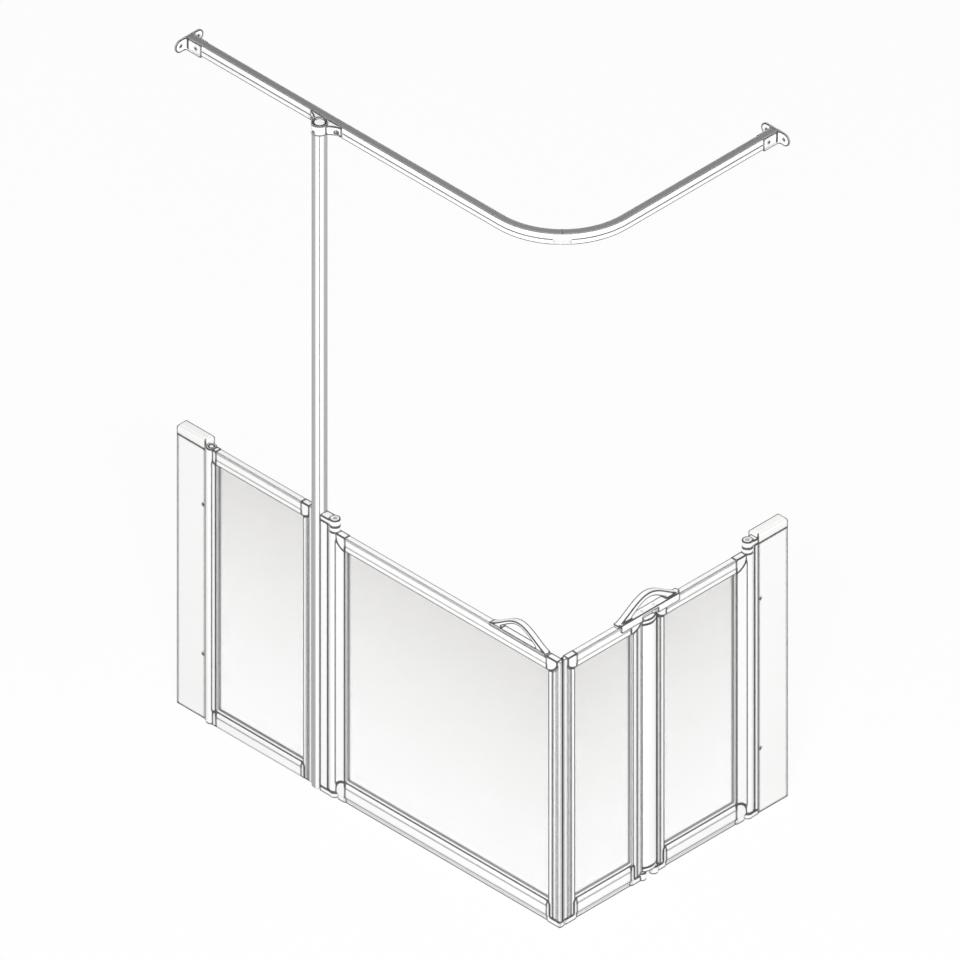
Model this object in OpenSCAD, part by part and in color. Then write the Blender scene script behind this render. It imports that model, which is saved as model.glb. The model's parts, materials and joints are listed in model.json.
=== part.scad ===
/* [Footprint] */
// Long run, from the wall to the outer corner
run_long = 1246; // [1180:1:1500]
// Short run, from the wall to the outer corner
run_short = 728; // [715:1:900]
// Single door, from its pivot to the tip of its magnetic seal
door_w = 734.5; // [600:0.5:760]
// Distance from the outer corner to the middle of the fold
fold_at = 281; // [240:1:310]
// Distance from the pole's centre to the single door's pivot
pole_to_pivot = 54.5; // [52:0.5:70]

/* [Heights] */
// Underside of the leaves above the floor, filled by the floor seals
seal_h = 16; // [15:0.5:25]
// Top of the three leaves
leaf_top = 745.5; // [650:0.5:900]
// Height of the fixed panel above the leaves
panel_over = 27.5; // [0:0.5:60]
// Height of the hollow wall posts above the leaves
post_over = 13.5; // [5:0.5:60]
// Underside of the curtain rail
rail_base = 1829; // [1600:1:2100]

/* [Wall posts] */
// Width of the left wall post along the long run
post_left_w = 93; // [60:0.5:110]
// Width of the right wall post along the short run
post_right_w = 97; // [60:1:110]
// Depth of both wall posts
post_t = 30; // [24:0.5:40]
// Wall of the hollow posts
post_wall = 2; // [1.5:0.1:3]
// Height of a post cap above its post
cap_h = 25; // [18:0.5:30]
// How far a cap stands proud of its post, front and back
cap_proud = 1; // [0.5:0.1:2]
// Rounding of a cap's top edges
cap_round = 8; // [2:0.5:9]
// Depth of a cap's plug inside its post
plug_h = 20; // [10:1:40]
// Clearance of a plug in its profile
plug_clear = 0.2; // [0.1:0.05:0.5]
// Height of a post's lower fixing screw
low_screw_h = 180; // [100:1:300]
// Height of a post's upper fixing screw
high_screw_h = 600; // [500:1:640]
// Fixing screw's distance from the post's inner edge
post_screw_edge = 8; // [6:0.5:15]

/* [Leaf frames] */
// Thickness of the framed leaves and the fixed panel
leaf_t = 17; // [16:0.5:20]
// Inset of the short run's leaves from the post's outer face
leaf_inset = 1; // [1:0.5:5]
// Inset of the fixed panel's centre line from the post's outer face
panel_y = 4.5; // [4:0.5:7]
// Height of the leaves' bottom rail
bottom_h = 41.5; // [38:0.5:60]
// Height of the leaves' top rail
top_h = 36.5; // [36:0.5:50]
// Height of the fixed panel's bottom rail
panel_bottom_h = 41; // [38:0.5:60]
// Height of the fixed panel's top rail
panel_top_h = 37; // [36:0.5:50]
// Width of the single door's closing stile and of the corner leaf's fold stile
stile_w = 29.5; // [26:0.5:40]
// Width of the wall leaf's fold stile
wall_fold_stile_w = 27; // [26:0.5:40]
// Width of the corner leaf's closing stile
corner_stile_w = 24; // [20:0.5:30]
// Width of the fixed panel's stile at the pole
pole_stile_w = 20.5; // [18:0.5:26]
// Distance of the joint line from the pole stile's inner edge
joint_at = 9.7; // [8:0.1:11]
// Width and depth of that joint line
joint_w = 0.8; // [0.4:0.1:1]
// Single door's hinge stile, from its pivot to its inner edge
hinge_stile_w = 40; // [34:0.5:50]
// Wall leaf's hinge stile, from its pivot to its inner edge
wall_hinge_stile_w = 43.5; // [34:0.5:50]
// Round edge of the panel's wall stile, centre to inner edge
wall_stile_w = 22.5; // [20:0.5:30]
// Width of the strip between the left wall post and the panel's round stile
strip_w = 1.5; // [1:0.5:6]
// Height of the sloped shoulder on a bottom rail
slope_h = 10; // [8:0.5:14]
// Depth of the sloped shoulder on a bottom rail
slope_in = 4; // [2:0.5:4.5]
// Rounding of a top rail's upper edges
rail_round = 1; // [1:0.5:5]
// Rounding of a stile's corners
stile_round = 1.5; // [0.5:0.1:3]
// Wall of the frame profiles
wall = 1.6; // [1.2:0.1:2.2]
// Overlap of a moulded corner past a square stile's inner edge
corner_over = 5; // [2:0.5:8]
// Width of the tab that a lower moulded corner shows beside a square stile
tab_w = 10; // [8:0.5:14]
// Rounding of that tab's top
tab_round = 8; // [3:0.5:8]
// Underside of the shoes under the moulded corners
shoe_z = 1; // [0.5:0.5:3]
// Rounding of a shoe's ends
shoe_round = 4; // [1:0.5:6]
// Gap between a stile's round edge and its moulded corner
corner_gap = 1; // [0.5:0.1:3]
// How far a moulded corner stands proud of the profiles
corner_proud = 0.4; // [0.2:0.1:0.8]
// Length of a moulded corner's spigot in its rail
spigot_l = 22; // [15:1:30]

/* [Glazing and seals] */
// Glazing thickness
glass_t = 4; // [3:0.5:5]
// Gasket thickness on each face and edge of the glazing
gasket_t = 1; // [0.8:0.1:1.2]
// Width of gasket that shows beside and above the glazing
gasket_lip = 3.5; // [1:0.5:4]
// Width of gasket that shows under the glazing
gasket_foot = 6.5; // [1:0.5:8]
// Depth of the glazing slot in the frame
slot_d = 12; // [8:0.5:13]
// Width of a floor seal's carrier
seal_w = 13; // [8:0.5:14]
// Width of a floor seal's blade
blade_w = 10; // [6:0.5:11]
// Height of a floor seal's blade
blade_h = 8; // [5:0.5:10]
// Height of the slope between a floor seal's blade and its carrier
seal_slope = 2; // [1:0.5:4]
// Width of the magnetic seals
magnet_w = 12; // [8:0.5:14]
// Length of the single door's magnetic seal past its stile
door_magnet_l = 8.3; // [5:0.1:12]
// Length of the corner leaf's magnetic seal past its stile
corner_magnet_l = 9.8; // [5:0.1:12]
// Gap between closed edges
close_gap = 0.7; // [0.5:0.1:1.5]
// Gap between the single door's tip and the outer corner
tip_gap = 0.5; // [0.2:0.1:3]

/* [Hinges] */
// Radius of the hinge stiles' round edge and the knuckles
hinge_r = 13; // [12:0.5:15]
// Width of the hinge posts and their arms
arm_w = 24; // [20:0.5:24]
// How far the middle hinge post wraps round the pole
pole_wrap = 1; // [1:0.5:8]
// Radius of the pivot pins
pin_r = 4; // [3:0.25:5]
// Running clearance round a pin
pin_clear = 0.05; // [0.03:0.01:0.1]
// Gap between a pin's end and its blind bore's floor
pin_end = 1; // [0.5:0.1:1.5]
// Gap between a round edge and the cup that it turns in
cup_gap = 0.5; // [0.3:0.1:1]
// Gap between an open leaf's face and the hinge post
swing_clear = 2.5; // [1:0.5:4]
// Depth of the right hinge post, from the wall post to its face
right_hinge_d = 13; // [10:0.5:20]
// Height of a hinge arm's foot under its post
foot_h = 14; // [10:0.5:14.5]
// Floor left under a foot's blind bore
foot_floor = 2; // [1:0.5:4]
// Underside of a top arm's plate above its knuckle's underside
plate_lift = 1.5; // [1:0.1:4]
// Thickness of a top arm's plate
arm_t = 13; // [8:0.5:16]
// Height of the boss on a leaf's top
boss_h = 14; // [8:0.5:14]
// Thickness of the washer over the boss
washer_t = 1.5; // [1:0.1:2]
// Height of a top arm's knuckle
knuckle_h = 17; // [16:0.5:24]
// Length of a pivot pin in its leaf
pin_grip = 40; // [25:1:60]

/* [Fold] */
// Distance between the two fold pins
fold_pin_gap = 38; // [34:0.5:44]
// Inset of the fold pins from the leaves' outer face
fold_pin_inset = 5; // [5:0.5:7]
// Radius of the fold pins
fold_pin_r = 2; // [1.5:0.1:2.4]
// Gap from a fold pin's axis to its leaf's end
fold_setback = 4.5; // [4:0.5:6]
// How far the fold post bulges past the outer corner
fold_proud = 7; // [4:0.5:9]
// Underside of the fold post's lower cap
fold_cap_low = 23; // [23:0.5:26]
// Thickness of the fold post's caps
fold_cap_t = 11.5; // [8:0.5:14]
// Top of the fold post's upper cap, below the leaves' top
fold_cap_drop = 15.5; // [13:0.5:18]
// Radius of the fold post's hollow
fold_hollow_r = 6; // [4:0.5:6]
// Radius of the top lugs
lug_r = 4.8; // [4.2:0.1:4.9]
// Radius of the foot blocks under the fold
foot_block_r = 11; // [9:0.5:12]
// Underside of the foot blocks
foot_block_z = 2; // [1:0.5:4]
// Height of the foot blocks
foot_block_h = 20; // [16:0.5:20.5]
// Clearance round the foot blocks and lugs in the stiles
block_clear = 0.3; // [0.2:0.05:0.5]
// Vertical gap between the fold's turning pieces
fold_gap = 1; // [0.5:0.1:1.5]

/* [Handles] */
// Depth of a handle's strap
strap_d = 16; // [12:0.5:16]
// Rounding of a handle's ends
end_round = 4; // [1:0.5:6]
// Length of the single door's handle
door_handle_l = 183; // [180:1:186]
// Distance from the outer corner to the middle of the door handle
door_handle_at = 136; // [135:1:200]
// Thickness of the door handle's base plate
door_base_t = 3; // [2.5:0.5:5]
// Height of the door handle's arch
door_arch_h = 45; // [42:1:50]
// Half the length of the curve that the door handle's arch is cut from
door_arch_l = 106; // [104:1:112]
// Half width of the door handle's arch
door_arch_w = 89; // [86:1:90]
// Height of the door handle's finger gap
door_gap_h = 38; // [34:1:39]
// Half the length of the curve that the door handle's finger gap is cut from
door_gap_l = 84; // [80:1:88]
// Half width of the door handle's finger gap
door_gap_w = 56; // [50:1:60]
// Thickness of the skirt on the door handle's outer side
skirt_t = 1.5; // [1:0.1:3]
// Drop of that skirt below the door's top
skirt_h = 6; // [3:0.5:12]
// Length of the fold handle
fold_handle_l = 202; // [192:1:214]
// Thickness of the fold handle's base plate
fold_base_t = 7; // [6.5:0.5:9]
// Height of the fold handle's arch
fold_arch_h = 50; // [46:1:56]
// Half the length of the curve that the fold handle's arch is cut from
fold_arch_l = 120; // [116:1:124]
// Half width of the fold handle's arch
fold_arch_w = 91; // [88:1:93]
// Height of the fold handle's finger gap
fold_gap_h = 38; // [34:1:42]
// Half the length of the curve that the fold handle's finger gap is cut from
fold_gap_l = 88; // [84:1:92]
// Half width of the fold handle's finger gap
fold_gap_w = 55; // [48:1:60]
// Thickness of the fold handle's outer flange
flange_t = 4; // [3:0.5:5]
// Half length of the flange
flange_l = 94.5; // [70:0.5:95]
// Rounding of the flange's lower corners
flange_round = 4; // [3:0.5:6]
// Gap between the flange and the leaves' outer face
flange_gap = 1.2; // [0.8:0.1:2]
// Half width of the flange's notch over the fold post
notch_w = 25; // [23:0.5:27]

/* [Pole] */
// Radius of the support pole
pole_r = 18.25; // [16:0.25:19]
// Wall of the support pole
pole_wall = 2; // [1.5:0.1:3]
// Clearance round the pole
pole_clear = 0.05; // [0.02:0.01:0.2]
// Width of the channel between the fixed panel and the pole
pole_channel_w = 7; // [4:0.5:9]
// Width of the pole's line groove
groove_w = 1.6; // [1:0.1:2]
// Depth of the pole's line groove
groove_d = 0.9; // [0.5:0.1:1.2]
// Radius of the clamp's collar
collar_r = 20; // [19.5:0.25:23]
// Height of the clamp's collar
collar_h = 28; // [20:0.5:36]
// Underside of the collar above the rail's underside
collar_lift = 6; // [0:0.5:10]
// Half length of the clamp's ears along the rail
ear_l = 50.5; // [46:0.5:60]
// Thickness of the clamp's ears
ear_t = 3; // [2.5:0.1:4]
// Height of the clamp's ears
ear_h = 24; // [16:0.5:24]
// Distance of the clamp's screws from the pole's axis
ear_screw_at = 38; // [34:0.5:42]
// Sag of the concave flanks between the collar and its ears
flank_sag = 2.5; // [1:0.5:4]
// Clearance round the screw heads in those flanks
pocket_clear = 1; // [0.6:0.1:1.4]
// Recess of the pole's top plug in the pole
plug_recess = 1.5; // [1:0.5:4]
// Width of the step round the plug's top
plug_step_w = 2; // [1:0.5:3]
// Depth of the step round the plug's top
plug_step_h = 5; // [2:0.5:8]
// Height of the pole's foot plug
foot_plug_h = 25; // [15:1:40]
// Radius of the pole's floor pin
floor_pin_r = 3; // [2:0.25:5]
// Length of the pole's floor pin
floor_pin_l = 45; // [40:1:60]

/* [Curtain rail] */
// Width of the curtain rail
rail_w = 18; // [18:0.5:26]
// Height of the curtain rail
rail_h = 31; // [26:0.5:36]
// Inset of the rail's centre line from the post's outer face
rail_inset = 37; // [37:0.5:44]
// Bend radius of the rail's centre line
bend_r = 200; // [150:1:300]
// Wall of the curtain rail
rail_wall = 2; // [1.5:0.1:2.5]
// Width of the slot for the gliders
glider_slot_w = 8; // [6:0.5:10]
// Height of the gliders' channel
glider_h = 7.5; // [6:0.5:8]
// Width of the recess along the rail's top
top_groove_w = 14; // [8:0.5:15]
// Depth of the recess along the rail's top
top_groove_d = 0.6; // [0.3:0.1:1]
// Depth of the crease along the rail's sides
crease_d = 0.7; // [0.3:0.1:1]
// Height of the crease, and of the rail's fixings, above its underside
crease_h = 14; // [13:0.5:16]
// Half angle of the rail joiner's spigot
joiner_angle = 14; // [8:0.5:18]
// Half angle of the rail joiner's cover plate
clip_angle = 6; // [3:0.5:7]
// Thickness of the joiner's cover plate, on the bend's outer side
clip_t = 0.5; // [0.4:0.1:1.5]
// Distance of that plate from the rail's top and underside
clip_edge = 1; // [0.5:0.5:4]
// Thickness of a wall bracket's plate
bracket_t = 4; // [3:0.5:6]
// Length of a wall bracket, from the wall
bracket_l = 53; // [44:1:70]
// Thickness of a bracket's cheeks
sleeve_t = 2.2; // [2:0.1:3]
// Thickness of a bracket's floor, under the rail
bracket_floor = 4.5; // [2:0.5:6]
// Radius of a bracket's round ears
bracket_ear_r = 17; // [12:0.5:18]
// Rounding of a bracket's cheeks
bracket_round = 5; // [2:0.5:8]
// Radius of the concave flanks between a bracket's cheeks and ears
bracket_fillet = 8; // [6:0.5:14]
// Distance of a bracket's holes from the rail's centre line
bracket_hole_at = 28; // [27:0.5:36]
// Radius of a bracket's wall holes
bracket_hole_r = 2.75; // [2:0.25:4]
// Distance of a bracket's rail screw from the wall
bracket_screw_at = 35; // [15:0.5:42]

/* [Screws] */
// Radius of a screw's head
head_r = 3.6; // [3:0.1:4.5]
// Height of a screw's head
head_h = 1.4; // [1:0.1:2]
// Radius of a screw's shank
shank_r = 1.8; // [1.5:0.1:2.2]
// Length of a screw's shank
shank_l = 9; // [7:0.5:12]
// Clearance round a screw's shank
shank_clear = 0.1; // [0.05:0.05:0.3]

/* [Hidden] */
$fn = 48;

// The modules draw from the outer corner, where the posts' outer faces meet on
// the floor. The long run goes towards -X and the short run towards +Y, and
// in_frame moves that corner so that the whole stands centred on the origin.
corner_x = (run_long - fold_proud) / 2;
corner_y = (max(hinge_r, collar_r + head_h - panel_y) - run_short) / 2;

// Tops of the fixed panel and of the wall posts
panel_top = leaf_top + panel_over;
post_h = leaf_top + post_over;

// Centre lines of the leaves
door_pivot_x = -(door_w + tip_gap);
leaf_x = -(leaf_inset + leaf_t / 2);
wall_pivot_y = run_short - post_right_w - right_hinge_d - leaf_t / 2 - swing_clear;
hinge_face = leaf_t / 2 + swing_clear;
pole_x = door_pivot_x - pole_to_pivot;
fold_pin_x = -(leaf_inset + fold_pin_inset);
fold_pin_low_y = fold_at - fold_pin_gap / 2;
fold_pin_high_y = fold_at + fold_pin_gap / 2;
corner_leaf_y = leaf_t / 2 + close_gap + corner_magnet_l;

// Frame sizes: length, underside, top, left and right stile, bottom and top rail, and
// the overlap of the left corners
panel_x = -run_long + post_left_w + strip_w + hinge_r;
panel_len = pole_x - pole_r - pole_channel_w - panel_x;
panel = [panel_len, 0, panel_top, wall_stile_w, pole_stile_w, panel_bottom_h, panel_top_h, 0];
door = [door_w - door_magnet_l, seal_h, leaf_top, hinge_stile_w, stile_w, bottom_h, top_h, 0];
wall_leaf_len = wall_pivot_y - fold_pin_high_y - fold_setback;
wall_leaf = [wall_leaf_len, seal_h, leaf_top, wall_hinge_stile_w, wall_fold_stile_w, bottom_h,
    top_h, 0];
corner_leaf_len = fold_pin_low_y - fold_setback - corner_leaf_y;
corner_leaf = [corner_leaf_len, seal_h, leaf_top, corner_stile_w, stile_w, bottom_h, top_h,
    corner_over];

// Where a round stile's edge meets the leaf's flat faces, where the moulded corners
// beside it begin, and the bore of the panel's round stile
round_reach = sqrt(hinge_r * hinge_r - leaf_t * leaf_t / 4);
corner_start = round_reach + corner_gap;
panel_bore_r = round_reach - wall;

// Heights of the hinge stack and of the fold post's top
knuckle_z = leaf_top + boss_h + washer_t;
hinge_post_h = knuckle_z + plate_lift;
cap_top_z = leaf_top - fold_cap_drop;

// Curtain rail
rail_y = rail_inset;
rail_face = rail_inset - rail_w / 2;
cavity_z = rail_wall + glider_h + rail_wall;
rail_screw_z = rail_base + crease_h;
collar_z = rail_base + collar_lift;
pole_h = collar_z + collar_h;

// Overlap of joined bodies, and how far a cut runs past what it cuts
eps = 0.01;
over = 1;

function arc(cx, cy, r, from, to, n) =
    [for (i = [0:n]) [cx + r * cos(from + (to - from) * i / n),
                      cy + r * sin(from + (to - from) * i / n)]];

// Bell of height h over the Y axis, cut from a cosine of half length l at half width w
function bell(h, l, w, n) = concat([[w, 0]],
    [for (i = [-n:n]) [-w * i / n, h / 2 * (1 + cos(180 * w * i / n / l))]], [[-w, 0]]);

// Points of a curve from a to b that sags to its left by d
function sagged(a, b, d, n) = [for (i = [0:n]) a + (b - a) * i / n
    + 4 * d * i / n * (1 - i / n) * [a[1] - b[1], b[0] - a[0]] / norm(b - a)];

// Concave corner of radius r between the X axis and the Y axis
function fillet(r, n) = concat([[0, 0]], arc(r, r, r, 270, 180, n));

// Rectangle from the origin with four rounded corners
function rounded(w, d, r) = concat(
    arc(r, r, r, 180, 270, 3), arc(w - r, r, r, 270, 360, 3),
    arc(w - r, d - r, r, 0, 90, 3), arc(r, d - r, r, 90, 180, 3));

// Rectangle centred on the Y axis, with its two upper corners rounded
function loaf(w, h, r, n) = concat([[-w / 2, 0], [w / 2, 0]],
    arc(w / 2 - r, h - r, r, 0, 90, n), arc(r - w / 2, h - r, r, 90, 180, n));

module in_frame() translate([corner_x, corner_y, 0]) children();
module at_panel() in_frame() translate([panel_x, panel_y, 0]) children();
module at_door() in_frame() translate([door_pivot_x, 0, 0]) children();
module at_wall_leaf() in_frame() translate([leaf_x, wall_pivot_y, 0]) rotate([0, 0, -90]) children();
module at_corner_leaf() in_frame() translate([leaf_x, corner_leaf_y, 0]) rotate([0, 0, 90]) children();

// Extrudes a section along +X, its X becoming Y and its Y becoming Z
module along_x(l) rotate([90, 0, 90]) linear_extrude(l) children();

// Block from x0 to x1 and z0 to z1, centred on Y
module slab(x0, x1, w, z0, z1) translate([x0, -w / 2, z0]) cube([x1 - x0, w, z1 - z0]);

// Framed leaves, drawn with their length along X and centred on Y

module pane(leaf, shrink, t) slab(leaf[3] - slot_d + shrink, leaf[0] - leaf[4] + slot_d - shrink, t,
    leaf[1] + leaf[5] - slot_d + shrink, leaf[2] - leaf[6] + slot_d - shrink);

module slot(leaf) pane(leaf, 0, glass_t + 2 * gasket_t);

module top_rail(leaf) difference() {
    translate([leaf[3] + leaf[7], 0, leaf[2] - leaf[6]])
        along_x(leaf[0] - leaf[3] - leaf[4] - leaf[7] - corner_over)
        polygon(loaf(leaf_t, leaf[6], rail_round, 4));
    slot(leaf);
    top_cavity(leaf, 0, 0, leaf[0]);
}

module top_cavity(leaf, clear, x0, x1) slab(x0, x1, leaf_t - 2 * wall - 2 * clear,
    leaf[2] - leaf[6] + slot_d + wall + clear, leaf[2] - 2 * wall - clear);

module bottom_rail(leaf) difference() {
    translate([leaf[3] + leaf[7], 0, leaf[1]])
        along_x(leaf[0] - leaf[3] - leaf[4] - leaf[7] - corner_over)
        polygon([[-leaf_t / 2, 0], [leaf_t / 2, 0], [leaf_t / 2, leaf[5] - slope_h],
            [leaf_t / 2 - slope_in, leaf[5]], [slope_in - leaf_t / 2, leaf[5]],
            [-leaf_t / 2, leaf[5] - slope_h]]);
    slot(leaf);
    bottom_cavity(leaf, 0, 0, leaf[0]);
}

module bottom_cavity(leaf, clear, x0, x1) slab(x0, x1, leaf_t - 2 * wall - 2 * clear,
    leaf[1] + wall + clear, leaf[1] + leaf[5] - max(slot_d, slope_h) - wall - clear);

// Outlines of the moulded corners, in the leaf's plane, running past the leaf's edge by
// m. Beside a round stile they curve from x0 to the stile's inner edge. Beside a square
// stile the upper ones curve under the stile and the lower ones show a tab.
module round_corner_2d(leaf, x0, top, m) translate([leaf[3], top ? leaf[2] : leaf[1]])
    mirror([1, 0]) mirror([0, top ? 1 : 0]) polygon(concat([[0, -m], [leaf[3] - x0, -m]],
    arc(0, leaf[top ? 6 : 5] - leaf[3] + x0, leaf[3] - x0, 0, 90, 16)));

function corner_sweep(leaf, w) = acos(min(1, w / leaf[6]));

module upper_corner_2d(leaf, x, w, left, m) translate([x, leaf[2]]) mirror([left, 0]) mirror([0, 1])
    polygon(concat([[0, -m], [w + m, -m]],
    m > 0 ? [[w + m, leaf[6] * sin(corner_sweep(leaf, w))]] : [],
    arc(0, 0, leaf[6], corner_sweep(leaf, w), 90, 16)));

module tab_2d(leaf, x, left, m) translate([x, leaf[1]]) mirror([left, 0]) polygon(concat(
    [[0, leaf[5]], [0, -m], [tab_w, -m]],
    arc(tab_w - tab_round, leaf[5] - tab_round, tab_round, 0, 90, 8)));

// Draws an outline of the leaf's plane through the leaf, proud of it front and back
module through(proud) translate([0, leaf_t / 2 + proud, 0]) rotate([90, 0, 0])
    linear_extrude(leaf_t + 2 * proud) children();

// Outlines of a corner at the leaf's left end and at its right end
module left_corner_2d(leaf, top, m) {
    if (leaf[7] == 0) round_corner_2d(leaf, corner_start, top, m);
    if (leaf[7] > 0 && top) upper_corner_2d(leaf, leaf[3] + leaf[7], leaf[3] + leaf[7], 1, m);
    if (leaf[7] > 0 && !top) tab_2d(leaf, leaf[3] + leaf[7], 1, m);
}

module right_corner_2d(leaf, top, m) {
    if (top) upper_corner_2d(leaf, leaf[0] - leaf[4] - corner_over, leaf[4] + corner_over, 0, m);
    if (!top) tab_2d(leaf, leaf[0] - leaf[4] - corner_over, 0, m);
}

// Room for the moulded corners in the stiles
module left_cuts(leaf) for (top = [false, true]) through(over) left_corner_2d(leaf, top, over);
module right_cuts(leaf) for (top = [false, true]) through(over) right_corner_2d(leaf, top, over);

module stile_blank(leaf, x, w) translate([x, -leaf_t / 2, leaf[1]])
    linear_extrude(leaf[2] - leaf[1]) polygon(rounded(w, leaf_t, stile_round));

// Straight stile at the leaf's right end
module right_stile(leaf) difference() {
    stile_blank(leaf, leaf[0] - leaf[4], leaf[4]);
    slot(leaf);
    right_cuts(leaf);
    slab(leaf[0] - leaf[4] + slot_d + wall, leaf[0] - wall, leaf_t - 2 * wall, -over, leaf[2] + over);
}

// Straight stile at the leaf's left end
module left_stile(leaf) difference() {
    stile_blank(leaf, 0, leaf[3]);
    slot(leaf);
    left_cuts(leaf);
    slab(wall, leaf[3] - slot_d - wall, leaf_t - 2 * wall, -over, leaf[2] + over);
}

// Straight stile at the fold with room for its corners' lug and foot block, whose pins
// stand towards side
module fold_stile(leaf, side) difference() {
    right_stile(leaf);
    translate([leaf[0] + fold_setback, side * (fold_pin_x - leaf_x), 0]) {
        translate([0, 0, -over]) cylinder(r = foot_block_r + block_clear,
            h = foot_block_z + foot_block_h + block_clear + over);
        slab(-fold_setback - wall - block_clear, 0, 2 * (lug_r + block_clear), cap_top_z, leaf_top + over);
    }
}

// Left stile with a round edge about the leaf's origin
module round_stile(leaf, bore) difference() {
    union() {
        translate([0, 0, leaf[1]]) cylinder(r = hinge_r, h = leaf[2] - leaf[1], $fn = 96);
        slab(0, leaf[3], leaf_t, leaf[1], leaf[2]);
    }
    slot(leaf);
    left_cuts(leaf);
    translate([0, 0, -over]) cylinder(r = bore, h = leaf[2] + 2 * over);
}

// Spigot of a moulded corner in its rail, from x0 to x1
module spigot(leaf, top, x0, x1) {
    if (top) top_cavity(leaf, plug_clear, x0, x1);
    if (!top) bottom_cavity(leaf, plug_clear, x0, x1);
}

// Shoe under a lower moulded corner from x0 to x1, keyed into the corner at key_x
module shoe(leaf, x0, x1, key_x) {
    translate([x0, -leaf_t / 2, shoe_z]) linear_extrude(leaf[1] - shoe_z)
        polygon(rounded(x1 - x0, leaf_t, shoe_round));
    slab(key_x - wall, key_x + wall, leaf_t - 2 * wall, leaf[1] - wall, leaf[1] + wall);
}

module left_corner(leaf, top) difference() {
    union() {
        through(corner_proud) left_corner_2d(leaf, top, 0);
        spigot(leaf, top, leaf[3] + leaf[7] - wall, leaf[3] + leaf[7] + spigot_l);
    }
    slot(leaf);
}

module right_corner(leaf, top) difference() {
    union() {
        through(corner_proud) right_corner_2d(leaf, top, 0);
        spigot(leaf, top, leaf[0] - leaf[4] - corner_over - spigot_l,
            leaf[0] - leaf[4] - corner_over + wall);
    }
    slot(leaf);
}

module glazing(leaf) pane(leaf, gasket_t, glass_t);

module gasket(leaf) difference() {
    slot(leaf);
    glazing(leaf);
    slab(leaf[3] + gasket_lip, leaf[0] - leaf[4] - gasket_lip, leaf_t,
        leaf[1] + leaf[5] + gasket_foot, leaf[2] - leaf[6] - gasket_lip);
}

module floor_seal(x0, x1) translate([x0, 0, 0]) along_x(x1 - x0) polygon([
    [-blade_w / 2, 0], [blade_w / 2, 0], [blade_w / 2, blade_h],
    [seal_w / 2, blade_h + seal_slope], [seal_w / 2, seal_h], [-seal_w / 2, seal_h],
    [-seal_w / 2, blade_h + seal_slope], [-blade_w / 2, blade_h]]);

module magnetic_seal(leaf, x0, x1) translate([x0, -magnet_w / 2, leaf[1]])
    linear_extrude(leaf[2] - leaf[1]) polygon(rounded(x1 - x0, magnet_w, stile_round));

// Hinges, drawn about their pivot with the leaf towards +X

module pin_bore(z0, z1) translate([0, 0, z0]) cylinder(r = pin_r + pin_clear, h = z1 - z0);

module knuckle(z0, h) translate([0, 0, z0]) cylinder(r = hinge_r, h = h, $fn = 96);

module boss() difference() {
    knuckle(leaf_top, boss_h);
    pin_bore(leaf_top - over, leaf_top + boss_h + over);
}

module hinge_post(back) difference() {
    slab(-back, -hinge_face, arm_w, foot_h, hinge_post_h);
    cylinder(r = hinge_r + cup_gap, h = hinge_post_h + over, $fn = 96);
}

module hinge_arms(back) {
    difference() {
        union() {
            knuckle(0, foot_h);
            slab(-back, 0, arm_w, 0, foot_h);
        }
        pin_bore(foot_floor, foot_h + over);
    }
    difference() {
        union() {
            knuckle(knuckle_z, knuckle_h);
            slab(-back, 0, arm_w, hinge_post_h, hinge_post_h + arm_t);
        }
        pin_bore(knuckle_z - over, knuckle_z + knuckle_h - foot_floor);
    }
}

module washers() difference() {
    union() {
        translate([0, 0, leaf_top + boss_h]) cylinder(r = arm_w / 2, h = washer_t);
        translate([0, 0, foot_h]) cylinder(r = arm_w / 2, h = seal_h - foot_h);
    }
    pin_bore(0, knuckle_z + over);
}

module pivot_pins() {
    translate([0, 0, foot_floor + pin_end])
        cylinder(r = pin_r, h = seal_h + pin_grip - foot_floor - pin_end);
    translate([0, 0, leaf_top - pin_grip])
        cylinder(r = pin_r, h = pin_grip + boss_h + washer_t + knuckle_h - foot_floor - pin_end);
}

// Wall posts, caps and their screws

module post_tube(l, w) difference() {
    cube([l, w, post_h]);
    translate([post_wall, post_wall, -over])
        cube([l - 2 * post_wall, w - 2 * post_wall, post_h + 2 * over]);
}

cap_plug_at = post_wall + plug_clear;

// Cap on a post of length l along X and depth post_t along Y
module post_cap(l) {
    intersection() {
        translate([0, post_t / 2, post_h]) along_x(l)
            polygon(loaf(post_t + 2 * cap_proud, cap_h, cap_round, 9));
        translate([l / 2, post_t + cap_proud, post_h]) rotate([90, 0, 0])
            linear_extrude(post_t + 2 * cap_proud) polygon(loaf(l, cap_h, cap_round, 9));
    }
    translate([cap_plug_at, cap_plug_at, post_h - plug_h])
        cube([l - 2 * cap_plug_at, post_t - 2 * cap_plug_at, plug_h + eps]);
}

// Screw with its head on the plane y = 0 and its shank, of length l, towards +Y
module screw(l) {
    rotate([90, 0, 0]) cylinder(r = head_r, h = head_h);
    translate([0, l, 0]) rotate([90, 0, 0]) cylinder(r = shank_r, h = l + eps);
}

module screw_hole() translate([0, shank_l + over, 0]) rotate([90, 0, 0])
    cylinder(r = shank_r + shank_clear, h = shank_l + 2 * over);

module left_post_screws_at() for (z = [low_screw_h, high_screw_h])
    translate([post_left_w - run_long - post_screw_edge, 0, z]) children();

module right_post_screws_at() for (z = [low_screw_h, high_screw_h])
    translate([0, run_short - post_right_w + post_screw_edge, z]) rotate([0, 0, 90]) children();

module left_wall_post() color("white") in_frame() difference() {
    translate([-run_long, 0, 0]) post_tube(post_left_w, post_t);
    left_post_screws_at() screw_hole();
}

module right_wall_post() color("white") in_frame() difference() {
    translate([-post_t, run_short - post_right_w, 0]) post_tube(post_t, post_right_w);
    right_post_screws_at() screw_hole();
}

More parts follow.
